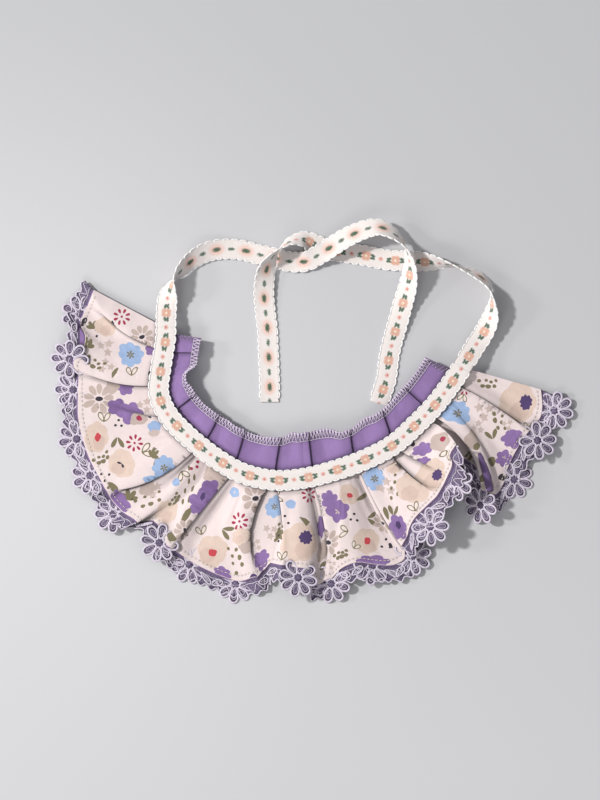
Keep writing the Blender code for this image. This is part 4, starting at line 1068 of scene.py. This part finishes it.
def cotton(name, colour, vary=0.1, creased=1.0):
    """Plain-woven cotton: two crossed sets of threads, slubs, a soft unevenness of the dye, fine creases and
    painted shade in its folds.
    """
    n = Nodes(name)
    uv = n.uv()
    weave = n.wave(uv, 3.2, "X", 0.4) * n.wave(uv, 3.2, "Y", 0.4)
    slub = n.noise(uv, 1.6, 2.0)
    light = scaled(colour, 1 + vary)
    tone = n.mix(n.noise(uv, 0.22) * 0.75 + slub * 0.25, scaled(colour, 1 - 1.6 * vary), light)
    # Painted shade: the colour is darkened in the folds.
    tone = n.painted_fold_shade(n.mix(weave * 0.25, tone, light), FOLD_SHADE_POWER)
    n.finish(Base_Color=tone, Roughness=weave * -0.1 + COTTON_ROUGH, Sheen_Weight=0.25)
    stretched = n.make("Mapping", {"Vector": uv, "Scale": (1.0, 0.7, 1.0), "Rotation": (0.0, 0.0, 0.35)})
    crease = abs(n.noise(stretched, 0.06, 1.0, 0.4) - 0.5)
    puckers = n.bump(n.noise(stretched, 0.07, 1.0) + crease * 1.2, 0.5 * creased, PUCKER_DEPTH)
    n.bump(weave + slub * 0.6, 0.35, WEAVE_DEPTH, puckers)
    return n.material


def thread(name, colour):
    """Twisted satin thread."""
    n = Nodes(name)
    place = n.place()
    fleck = n.noise(place, TWIST_SCALE, 2.0)
    share = n.wave(place, TWIST_SCALE / 6, "DIAGONAL", 1.0) * 0.5 + fleck * 0.5
    tone = n.mix(share, scaled(colour, 0.66), scaled(colour, 1.12))
    n.finish(Base_Color=tone, Roughness=fleck * 0.2 + 0.4, Sheen_Weight=0.3)
    n.bump(share, 0.4, THREAD_DEPTH)
    return n.material


def lace_net(name):
    """The lace's ground: crossed threads with small holes between them, which are painted dark as the shade seen
    through them, and painted shade in its folds.
    """
    n = Nodes(name)
    uv = n.uv()
    cells = n.make("TexVoronoi", {"Vector": uv, "Scale": 0.95}, "Distance", feature="DISTANCE_TO_EDGE")
    hole = n.math("SMOOTH_MIN", cells * 3.2, 1.0, 0.2)
    fleck = n.noise(uv, 1.4)
    share = (1.0 - hole) * 0.8 + n.wave(uv, 1.1, "X", 2.0) * n.wave(uv, 1.1, "Y", 2.0) * fleck * 0.9
    tone = n.painted_fold_shade(n.mix(share, linear(NET_HOLE_SHADE), linear(NET_THREAD)), NET_SHADE_POWER)
    n.finish(Base_Color=tone, Roughness=fleck * 0.2 + 0.6)
    n.bump(share, 0.6, NET_DEPTH)
    return n.material


def ribbon_finish(name, back):
    """The woven ribbon: roses with leaves and buds on a cream ground, and on the back their loose threads."""
    n = Nodes(name)
    u, w, _ = n.parts(n.uv())
    wobble = (n.noise(n.uv(), 1.5) - 0.5) * (3.2 if back else 1.8)
    along = (u + wobble) % ROSE_STEP - ROSE_STEP / 2
    w = w + wobble
    side = abs(along)
    far = side - ROSE_STEP / 2
    ribs = n.wave(n.uv(), 1.05, "X", 0.8)
    cords = n.wave(n.uv(), 0.62, "Y", 0.5)
    fleck = n.noise(n.uv(), 2.2, 2.0)
    cream = n.mix(fleck * 0.7, linear((255, 250, 247)), linear((236, 224, 219)))
    cream = n.mix(cords * cords * 0.45, cream, linear((206, 188, 182)))
    colour = n.mix(ribs * 0.35, cream, linear((255, 249, 247)))
    if back:
        halo = n.spot(w, along, 0.0, 0.0, 4.2, 3.0, 0.6) * 0.75
        spots = [(halo, linear((244, 190, 170))),
                 (n.spot(w, along, 0.0, 0.0, 2.5, 1.3, 0.35), linear((70, 100, 76))),
                 (n.spot(w, far, 0.0, 0.0, 2.0, 1.0, 0.35), linear((92, 116, 96)))]
    else:
        rose = n.mix(n.noise(n.uv(), 1.7, 1.0), linear((216, 148, 126)), linear((238, 200, 178)))
        green = n.mix(n.noise(n.uv(), 2.6, 1.0), linear((50, 78, 62)), linear((104, 130, 106)))
        spots = [(n.spot(abs(w), side, 0.9, 1.15, 1.75, 1.6, 0.3), rose),
                 (n.spot(w, along, 0.1, 0.0, 0.8, 0.75, 0.5), linear((244, 226, 204)))]
        spots += [(n.spot(w, side, leaf.x, leaf.y, leaf.wide, leaf.high, 0.4), green) for leaf in ROSE_LEAVES]
        spots += [(n.spot(w, far, 0.0, 0.0, 1.35, 1.2, 0.4), linear((236, 184, 172))),
                  (n.spot(w, far, 0.0, 0.2, 0.5, 0.45, 0.4), linear((206, 120, 112)))]
    for share, ink in spots:
        colour = n.mix(share, colour, ink)
    n.finish(Base_Color=colour, Roughness=fleck * 0.15 + 0.6, Sheen_Weight=0.3)
    n.bump(ribs + cords * 0.8, 0.55, RIBBON_DEPTH)
    return n.material


def printed(sheet):
    """The inks of the motifs' shapes and their (u, v) outlines, in the order they are printed."""
    shown = sheet.seen()
    found = []
    for i, motif in enumerate(MOTIFS):
        x, y = of_pixel(motif.px, motif.py)
        for ink, outline in shapes_of(motif, i * SEED_STEP):
            found.append((INK_NAMES.index(ink), sheet.laid(x, y, outline, shown)))
    return found


def inside(outline, places):
    """Whether each place lies inside an outline."""
    outline = np.asarray(outline)
    found = np.zeros(len(places), bool)
    for (ax, ay), (bx, by) in zip(outline, np.roll(outline, -1, axis=0)):
        crosses = (ay > places[:, 1]) != (by > places[:, 1])
        at = ax + (places[:, 1] - ay) * (bx - ax) / (by - ay if by != ay else 1.0)
        found ^= crosses & (places[:, 0] < at)
    return found


def add_print(sheet):
    """The print's sheet, cut along the outlines of its motifs so that each lies in its own ink."""
    u, v = sheet.u, sheet.v
    columns, rows = len(u), len(v)
    last = (rows - 1) * columns
    points = [Vector((a, b)) for b in v for a in u]
    edges = [(first + c, first + c + 1) for first in (0, last) for c in range(columns - 1)]
    edges += [(at, at + columns) for first in (0, columns - 1) for at in range(first, last + first, columns)]
    motifs = printed(sheet)
    for _, outline in motifs:
        first, count = len(points), len(outline)
        points += [Vector((min(max(a, 0.0), u[-1]), min(max(b, 0.0), v[-1]))) for a, b in outline]
        edges += [(first + i, first + (i + 1) % count) for i in range(count)]
    found = delaunay_2d_cdt(points, edges, [], 0, CLOSEST_CUT, False)
    places = np.array([(p.x, p.y) for p in found[0]])
    triangles = np.array([list(face)[::-1] for face in found[2]])
    middles = places[triangles].mean(axis=1)
    slots = np.zeros(len(triangles), int)
    for ink, outline in motifs:
        low, high = np.min(outline, axis=0), np.max(outline, axis=0)
        near = np.flatnonzero(np.all((middles > low) & (middles < high), axis=1))
        slots[near[inside(outline, middles[near])]] = ink
    return sheet.at(places, PRINT_RISE), triangles.tolist(), places, slots


def turned_edge(sheet):
    """The print's rolled edge: a few rows from its upper face round to its lower face."""
    hem = np.stack([sheet.u, np.full(len(sheet.u), sheet.v[-1])], axis=1)
    way = blended(sheet.grid[-1] - sheet.grid[-3], sheet.u, HEM_BLEND)
    rows = [sheet.grid[-1] + way * out + sheet.normals[-1] * rise for out, rise in HEM_ROLL]
    return np.array([sheet.at(hem, PRINT_RISE)] + rows)


def add_cloths(sheet, lining_grid):
    """The print with its rolled edge, and the lining, which reaches a little past its hem."""
    finishes = [cotton("print " + ink.name, (ink.red, ink.green, ink.blue), ink.wash) for ink in INKS]
    points, faces, places, slots = add_print(sheet)
    edge = turned_edge(sheet)
    turned = net_faces(len(edge), edge.shape[1], len(points))
    uv = np.concatenate([places, [(a, sheet.v[-1] + k) for k in range(len(edge)) for a in sheet.u]])
    points = np.concatenate([points, edge.reshape(-1, 3)])
    slots = list(slots) + [INK_NAMES.index("ground")] * len(turned)
    ruffle = piece("ruffle_print", points, faces + turned, finishes, uv, slots)
    normals = normals_of(lining_grid)
    upper, lower = lining_grid - normals * LINING_TOP, lining_grid - normals * (LINING_TOP + LINING_THICK)
    upper[..., 2] = np.maximum(upper[..., 2], LINING_THICK + FLOOR_GAP)
    lower[..., 2] = np.maximum(lower[..., 2], FLOOR_GAP)
    points, faces = shell(upper, lower)
    vs = list(sheet.v) + [sheet.v[-1] + LINING_SHOW_UV]
    uv = np.array([(a, b) for b in vs for a in along_line(lining_grid[-2])] * 2)
    lining = piece("ruffle_lining_cloth", points, faces, [cotton("purple lining", PURPLE_CLOTH, 0.12)], uv)
    return ruffle, lining


def add_turnback(sheet):
    """The lining's edge that is turned over onto the print in the deep recess on the right, in a darker copy of
    the lining's purple as painted shade.
    """
    line = catmull([of_pixel(row.px, row.py) + (row.wide,) for row in TURNBACK], TURN_SPAN)
    way = units(np.gradient(line[:, :2], axis=0))
    side = np.stack([way[:, 1], -way[:, 0]], axis=1)
    shown = sheet.seen()
    rows = []
    for share in TURN_SHARES:
        row = line[:, :2] + side * (line[:, 2:] * share)
        away = np.hypot(sheet.grid[..., 0] - row[:, None, None, 0], sheet.grid[..., 1] - row[:, None, None, 1])
        away = np.where(shown, away, np.inf).reshape(len(row), -1)
        heights = sheet.grid[..., 2].ravel()[np.argmin(away, axis=1)]
        rows.append(np.column_stack([row, heights + TURN_RISE + TURN_ROUND * math.cos(math.pi * share)]))
    rows = np.array(rows)
    rows[..., 2] = np.maximum(rows[..., 2], LINING_THICK + FLOOR_GAP)
    points, faces = shell(rows, rows - np.array([0.0, 0.0, LINING_THICK]))
    uv = np.array([(x, y) for x, y, z in rows.reshape(-1, 3)] * 2)
    return piece("lining_turnback", points, faces, [cotton("shaded purple lining", SHADED_CLOTH, 0.12)], uv)


def add_topstitch(sheet):
    """Short stitches in a row inside the print's hem."""
    stitches = Threads()
    for mark in np.arange(STITCH_ENDS, sheet.u[-1] - STITCH_ENDS, STITCH_STEP):
        places = [(mark + a, sheet.v[-1] - STITCH_IN) for a in np.linspace(0, STITCH_LONG, len(STITCH_RISES))]
        stitches.add(sheet.at(places, [PRINT_RISE + rise for rise in STITCH_RISES]), STITCH_CORD)
    return stitches.made("hem_topstitch", thread("cream thread", (238, 226, 214)))


def strip_rows(line, rolls, profile):
    """Rows of points across a ribbon: profile gives (across, rise) for each point of each station."""
    rows = []
    for place, way, roll, cut in zip(line, np.gradient(line, axis=0), rolls, profile):
        way = unit(way)
        side = right_of(way)
        up = np.cross(side, way)
        turn = math.radians(roll)
        across = math.cos(turn) * side + math.sin(turn) * up
        out = math.cos(turn) * up - math.sin(turn) * side
        rows.append([place + across * x + out * z for x, z in cut])
    return np.array(rows)


def add_ribbons(seam):
    """One ribbon with scalloped edges from cut end to cut end, with its printed face and its back, as three
    pieces, and the picot loops along the edges of each."""
    finishes = (ribbon_finish("rosebud ribbon face", False), ribbon_finish("rosebud ribbon back", True))
    picot = thread("cream picot", (255, 250, 247))
    left, left_rolls = even_route(LEFT_TIE, TIE_STEP)
    right, right_rolls = even_route(RIGHT_TIE, TIE_STEP)
    band = np.array([seam.at(mark) for mark in np.linspace(0.0, seam.length, BAND_POINTS)])
    band[:, 2] = RIBBON_RIDE
    line = np.concatenate([left[::-1], band[1:], right[1:]])
    rolls = np.concatenate([-left_rolls[::-1], np.zeros(len(band) - 1), right_rolls[1:]])
    reach = along_line(line)
    zero = reach[len(left) - 1]
    end = reach[len(left) + len(band) - 2]
    marks = np.linspace(0.0, reach[-1], round(reach[-1] / RIBBON_FINE))
    line = read_at(line, reach, marks)
    rolls = np.interp(marks, reach, rolls)
    halves = RIBBON_HALF + RIBBON_SWELL * np.abs(np.sin(np.pi * (marks - zero) / PICOT_STEP)) ** 0.6
    ripple = [(share, RIBBON_RIPPLE * math.cos(3 * math.pi * share)) for share in RIBBON_SHARES]
    profile = [[(half * share, rise) for share, rise in ripple] for half in halves]
    middle = strip_rows(line, rolls, profile)
    lift = strip_rows(line, rolls, [[(0.0, RIBBON_THICK / 2)]] * len(line)) - line[:, None]
    across = strip_rows(line, rolls, [[(1.0, 0.0)]] * len(line))[:, 0] - line
    cuts = [0, int(np.argmin(abs(marks - zero))), int(np.argmin(abs(marks - end))), len(marks) - 1]
    made = []
    for name, first, last in zip(RIBBON_CUTS, cuts[:-1], cuts[1:]):
        stretch = slice(first, last + 1)
        rows, out = middle[stretch], lift[stretch]
        points, faces = shell(rows + out, rows - out)
        shown = (rows.shape[0] - 1) * (rows.shape[1] - 1)
        slots = [0] * shown + [1] * (len(faces) - shown)
        uv = [(mark - zero, x) for mark, cut in zip(marks[stretch], profile[stretch]) for x, z in cut] * 2
        cloth = piece(name + "_cloth", points, faces, finishes, uv, slots, len(faces) - 2 * shown)
        threads = Threads()
        steps = (marks[[first, last]] - zero) / PICOT_STEP
        for step in range(math.ceil(steps[0]), int(steps[1])):
            places = zero + (step + np.linspace(0, 1, 9)) * PICOT_STEP
            bulge = RIBBON_HALF + PICOT_OUT + PICOT_DEPTH * np.sin(np.linspace(0, math.pi, 9)) ** 0.6
            for side in (-1, 1):
                arc = read_at(line, marks, places) + read_at(across, marks, places) * (side * bulge)[:, None]
                threads.add(arc, PICOT_CORD, read_at(lift[:, 0], marks, places))
        made.append((name, cloth, threads.made("picot_" + name, picot)))
    return made


def add_frill(grid, rows):
    """The neck frill's cloth, and the overlock thread round its free edge."""
    sheet = Sheet(grid, rows, FRILL_DEPTH, -1)
    width, depth = sheet.u[-1], sheet.v[-1]
    points, faces = shell(grid + sheet.normals * FRILL_WALL, grid - sheet.normals * FRILL_WALL)
    uv = np.array([(a, b) for b in sheet.v for a in sheet.u] * 2)
    cloth = piece("neck_frill_cloth", points, faces, [cotton("purple frill", FRILL_CLOTH, 0.18, 3.0)], uv)
    threads = Threads()
    over = sheet.grid[-1] - sheet.grid[-3]
    for mark in np.arange(0.5, width - OVERLOCK_STEP, OVERLOCK_STEP):
        places = [(mark + a * OVERLOCK_STEP, depth - b * OVERLOCK_WIDTH) for a, b, _ in OVERLOCK_LOOP]
        line = sheet.at(places, [rise for _, _, rise in OVERLOCK_LOOP])
        # The middle of a loop goes over the cloth's edge.
        line[3] += unit(over[min(int(np.searchsorted(sheet.u, mark)), len(over) - 1)]) * LOOP_OVER
        threads.add(line, LOOP_THREAD)
    for back in (OVERLOCK_WIDTH, OVERLOCK_IN):
        edge = [(a, depth - back) for a in np.arange(0.3, width - 0.3, OVERLOCK_FINE)]
        threads.add(sheet.at(edge, OVERLOCK_RISE), OVERLOCK_CORD)
    for near, far in ((0.1, OVERLOCK_WIDTH), (width - 0.1, width - OVERLOCK_WIDTH)):
        for mark in [0.4 + k * END_STEP for k in range(int(FRILL_DEPTH / END_STEP) - 1)]:
            places = [(far, mark), (near, mark + 0.5), (far, mark + END_STEP)]
            threads.add(sheet.at(places, OVERLOCK_RISE), OVERLOCK_CORD)
    return cloth, threads.made("frill_overlock", thread("lilac overlock", (214, 200, 222)))


def daisy_frames(longer):
    """The hem that the lace hangs from, and for each daisy its middle, the directions along the hem, out of it
    and up, and its place along the hem."""
    normals = normals_of(longer)[-1]
    hem = longer[-1] - normals * LACE_LEVEL
    reach = along_line(hem)
    ribs = blended(units(longer[-1] - longer[-3]), reach, LACE_BLEND)
    flat = normals[:, 2] > FLAT_ENOUGH
    frames = []
    for daisy in DAISIES:
        away = np.hypot(hem[:, 0] - daisy.x, hem[:, 1] - daisy.y)
        k = int(np.argmin(np.where(flat, away, np.inf)))
        near = np.abs(reach - reach[k]) < DAISY_HOLD
        along = unit(hem[near][-1] - hem[near][0])
        out = ribs[k] - along * np.dot(ribs[k], along)
        out[2] = np.clip(out[2], *DAISY_SLOPES)
        out = unit(out)
        up = unit(np.cross(out, along))
        up = up if up[2] > 0 else -up
        middle = np.array([daisy.x, daisy.y, hem[k][2] + out[2] * away[k] * (1 - LACE_DROOP)])
        frames.append((middle, along, out, up, reach[k]))
    return hem, reach, ribs, normals, frames


class Net:
    """The lace's cloth: its points, faces and uvs."""

    def __init__(self):
        self.points = []
        self.faces = []
        self.uv = []

    def fill(self, outline, middle, up, uv, middle_uv):
        """A disc of net inside an outline."""
        first, count = len(self.points), len(outline)
        for rise in (0.15, -0.15):
            self.points += [point + up * rise for point in [middle] + outline]
            self.uv += [middle_uv] + uv
        below = first + count + 1
        for i in range(count):
            j = (i + 1) % count
            a, b, c, d = first + 1 + i, first + 1 + j, below + 1 + i, below + 1 + j
            self.faces += [(first, a, b), (below, d, c), (b, a, c, d)]

    def add_strip(self, rows, lift, uv):
        points, faces = shell(rows + lift, rows - lift)
        self.faces += [[len(self.points) + corner for corner in face] for face in faces]
        self.points += list(points)
        self.uv += uv


def add_daisy(net, threads, number, middle, along, out, up):
    """A daisy of net with corded petals, each with a loop inside, and a corded eye."""
    base = np.array([number * DAISY_APART, UV_PAST_NET])

    def on_disc(points, rise):
        found = []
        for x, y in points:
            point = middle + along * x + out * y + up * rise
            if y > 0:
                point[2] -= DAISY_SAG * (y / DAISY_REACH) ** 2
            point[2] = max(point[2], LACE_FLOOR + rise)
            found.append(point)
        return found

    def corded(outline, radius, rise, sides=6):
        threads.add(on_disc(outline, rise), radius, up, sides, True)

    def filled(outline, centre, rise, centre_rise):
        uv = [base + point for point in outline]
        net.fill(on_disc(outline, rise), on_disc([centre], centre_rise)[0], up, uv, base + centre)

    for i in range(LACE_PETALS):
        angle = 90 + 360 / LACE_PETALS * i
        corded(petal(DAISY_EYE * 0.9, DAISY_REACH, PETAL_WIDE, angle, 20), LACE_CORD, 0.25)
        corded(petal(DAISY_EYE + 1.5, DAISY_REACH - 1.9, PETAL_WIDE * 0.5, angle, 14), LOOP_CORD, 0.2, 5)
        inner = petal(DAISY_EYE * 0.9, DAISY_REACH - 0.2, PETAL_WIDE * 0.9, angle, 16)
        filled(inner, tuple(sum(axis) / len(inner) for axis in zip(*inner)), 0.0, 0.0)
    eye = [(DAISY_EYE * math.cos(a), DAISY_EYE * math.sin(a)) for a in ring(16)]
    corded(eye, EDGE_CORD, 0.3)
    filled(eye, (0, 0), 0.1, 0.2)


def add_lace(longer):
    """The lace: its daisies, and the net between them with its cords, curls and leaves."""
    hem, reach, ribs, normals, frames = daisy_frames(longer)
    net, threads = Net(), Threads()
    for number, (middle, along, out, up, _) in enumerate(frames):
        add_daisy(net, threads, number, middle, along, out, up)
    marks = np.arange(0.0, reach[-1], NET_STEP)
    line, way, lift = (read_at(field, reach, marks) for field in (hem, ribs, normals))
    room = np.clip((lift[:, 2] - 0.2) / 0.4, 0.15, 1.0)
    wave = NET_WAVE * np.cos(np.pi * 2 * marks / CURL_STEP)
    wide = (np.linspace(*NET_WIDE, len(marks)) - wave) * room
    rows = []
    for share in NET_SHARES:
        row = line + way * (wide * share)[:, None]
        row[:, 2] = np.maximum(row[:, 2] - 0.06 * np.maximum(share, 0) * wide, 0.4)
        rows.append(row)
    uv = [np.array([mark, w * share]) for share in NET_SHARES for mark, w in zip(marks, wide)]
    net.add_strip(np.array(rows), lift * 0.12, uv * 2)
    threads.add(rows[-1] + lift * 0.2, EDGE_CORD, sides=6)
    threads.add(rows[2] + lift * 0.2, INNER_CORD)
    curls = CURL_MIDDLE + CURL_SWING * np.sin(2 * np.pi * marks / CURL_STEP)
    levels = ((curls - NET_SHARES[2]) / (NET_SHARES[-1] - NET_SHARES[2]))[:, None]
    threads.add(rows[2] * (1 - levels) + rows[-1] * levels + lift * 0.25, CURL_CORD)
    middles = sorted(frame[4] for frame in frames)
    for left, right in zip(middles[:-1], middles[1:]):
        for share, lean in ((0.38, 32), (0.62, -32)):
            mark = left + (right - left) * share
            k = int(np.clip(np.searchsorted(marks, mark), 1, len(marks) - 2))
            along = unit(line[k + 1] - line[k - 1])
            place = line[k] + way[k] * LEAF_OUT * room[k]
            for half, width, count, radius, sides in LEAF_LOOPS:
                outline = petal(-half, half, width, lean, count, 0.3)
                leaf = [place + along * x + way[k] * y * room[k] + lift[k] * 0.35 for x, y in outline]
                threads.add(leaf, radius, lift[k], sides, True)
    cloth = piece("lace_net_cloth", net.points, net.faces, [lace_net("lilac lace net")], net.uv)
    return cloth, threads.made("lace_threads", thread("lilac lace thread", (206, 196, 213)))


def add_stage():
    """The paper with painted light, darker towards the top and brighter in a soft pool on the left, the studio's
    light and the camera.
    """
    mesh = bpy.data.meshes.new("floor")
    corners = [(x * FLOOR_HALF, y * FLOOR_HALF, 0) for x, y in ((-1, -1), (1, -1), (1, 1), (-1, 1))]
    mesh.from_pydata(corners, [], [(0, 1, 2, 3)])
    n = Nodes("pale paper")
    x, y, _ = n.parts(n.place())
    fleck = n.noise(n.place(), 900.0, 4.0)
    tone = fleck * 0.3 + n.noise(n.place(), 3.0, 2.0) * 0.7
    # Painted light: the paper darkens towards the top.
    painted_falloff = n.math("MAXIMUM", n.math("MINIMUM", y * 2.1 + 0.45, 1.0), 0.0)
    paper = n.mix(tone, linear((189, 189, 192)), linear((196, 196, 199)))
    paper = n.mix(painted_falloff, paper, linear((180, 181, 184)))
    # Painted light: a soft pool of brighter paper on the left.
    near = n.spot(y, x, -0.19, -0.03, 0.17, 0.16, 0.9)
    n.finish(Base_Color=n.mix(near, paper, linear((200, 200, 203))), Roughness=0.9)
    n.bump(fleck, 0.08, PAPER_DEPTH)
    mesh.materials.append(n.material)
    placed("floor", mesh)

    world = bpy.data.worlds.new("studio")
    world.use_nodes = True
    back = world.node_tree.nodes["Background"]
    back.inputs[0].default_value = SKY_COLOUR
    back.inputs[1].default_value = SKY_POWER
    bpy.context.scene.world = world
    for name, place, size, power in LIGHTS:
        lamp = bpy.data.lights.new(name, "AREA")
        lamp.shape = "DISK"
        lamp.size = size
        lamp.energy = power
        lamp.color = LAMP_COLOUR
        light = placed(name, lamp)
        light.location = place
        light.rotation_euler = (-Vector(place)).to_track_quat("-Z", "Y").to_euler()

    camera = bpy.data.cameras.new("camera")
    camera.lens = SENSOR * CAMERA_HEIGHT / PICTURE_HEIGHT
    camera.clip_end = 20
    seen = placed("camera", camera)
    seen.location = (CAMERA_MIDDLE[0] - MIDDLE[0] * MM, CAMERA_MIDDLE[1] - MIDDLE[1] * MM, CAMERA_HEIGHT)
    bpy.context.scene.camera = seen
    bpy.context.scene.view_settings.view_transform = "Standard"


def close(folds, neck, middle, hem):
    """Brings the valleys of the pleats up towards their crests: each share is what is kept of the height."""
    for fold in folds:
        fold.neck_low = fold.neck_z - neck * (fold.neck_z - fold.neck_low)
        fold.mid_low = fold.mid_z - middle * (fold.mid_z - fold.mid_low)
        fold.in_z = fold.hem_z - hem * (fold.hem_z - fold.in_z)


def main():
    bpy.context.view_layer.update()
    add_stage()
    close(RUFFLE_FOLDS, *RUFFLE_CLOSER)
    close(FRILL_FOLDS, *FRILL_CLOSER)
    # The first pleat laps over in the thin cloth. In the solid it is an open wave.
    first = RUFFLE_FOLDS[0]
    first.neck_lap, first.mid_lap, first.neck_z = 1.0, 1.4, 6.0
    seam = Path([(point.x, point.y, 0.0) for point in SEAM])
    cloth = Cloth(seam, 1, RUFFLE_OFFSET, RUFFLE_FOLDS, RUFFLE_RIBS, (0.0, seam.length),
                  (CREST_RADIUS, VALLEY_RADIUS), TOP_LEVEL)
    shares = np.linspace(0.0, 1.0, FINE_ROWS)
    coarse = np.array([cloth.row(v) for v in shares])
    sheet = Sheet(fine(coarse), shares, RUFFLE_DEPTH)
    longer = fine(lengthened(cloth, coarse))
    ruffle, lining = add_cloths(sheet, longer)
    turnback = add_turnback(sheet)
    stitches = add_topstitch(sheet)
    net, lace = add_lace(longer)
    frill = Cloth(seam, -1, FRILL_OFFSET, FRILL_FOLDS, FRILL_RIBS, (FRILL_START, FRILL_END),
                  (FRILL_RADIUS, FRILL_RADIUS), FRILL_TOP)
    shares = np.linspace(0.0, 1.0, FRILL_ROWS)
    frill_piece, overlock = add_frill(fine([frill.row(v) for v in shares]), shares)
    ribbons = add_ribbons(seam)
    for made, slot in ((ruffle, "floral_cotton"), (lining, "purple_cotton"), (turnback, "purple_cotton"),
                       (stitches, "floral_cotton"), (net, "lilac_lace"), (lace, "lilac_lace"),
                       (frill_piece, "purple_frill_cotton"), (overlock, "purple_frill_cotton")):
        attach(made, "root")
    for name, cloth_piece, edge in ribbons:
        for made in (cloth_piece, edge):
            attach(made, "root")
        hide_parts(name)
        rests = "ruffle_print" if name == "ribbon_band" else "floor"
    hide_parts("print_ruffle")
    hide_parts("ruffle_lining")
    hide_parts("lace_trim")
    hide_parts("neck_frill")


main()
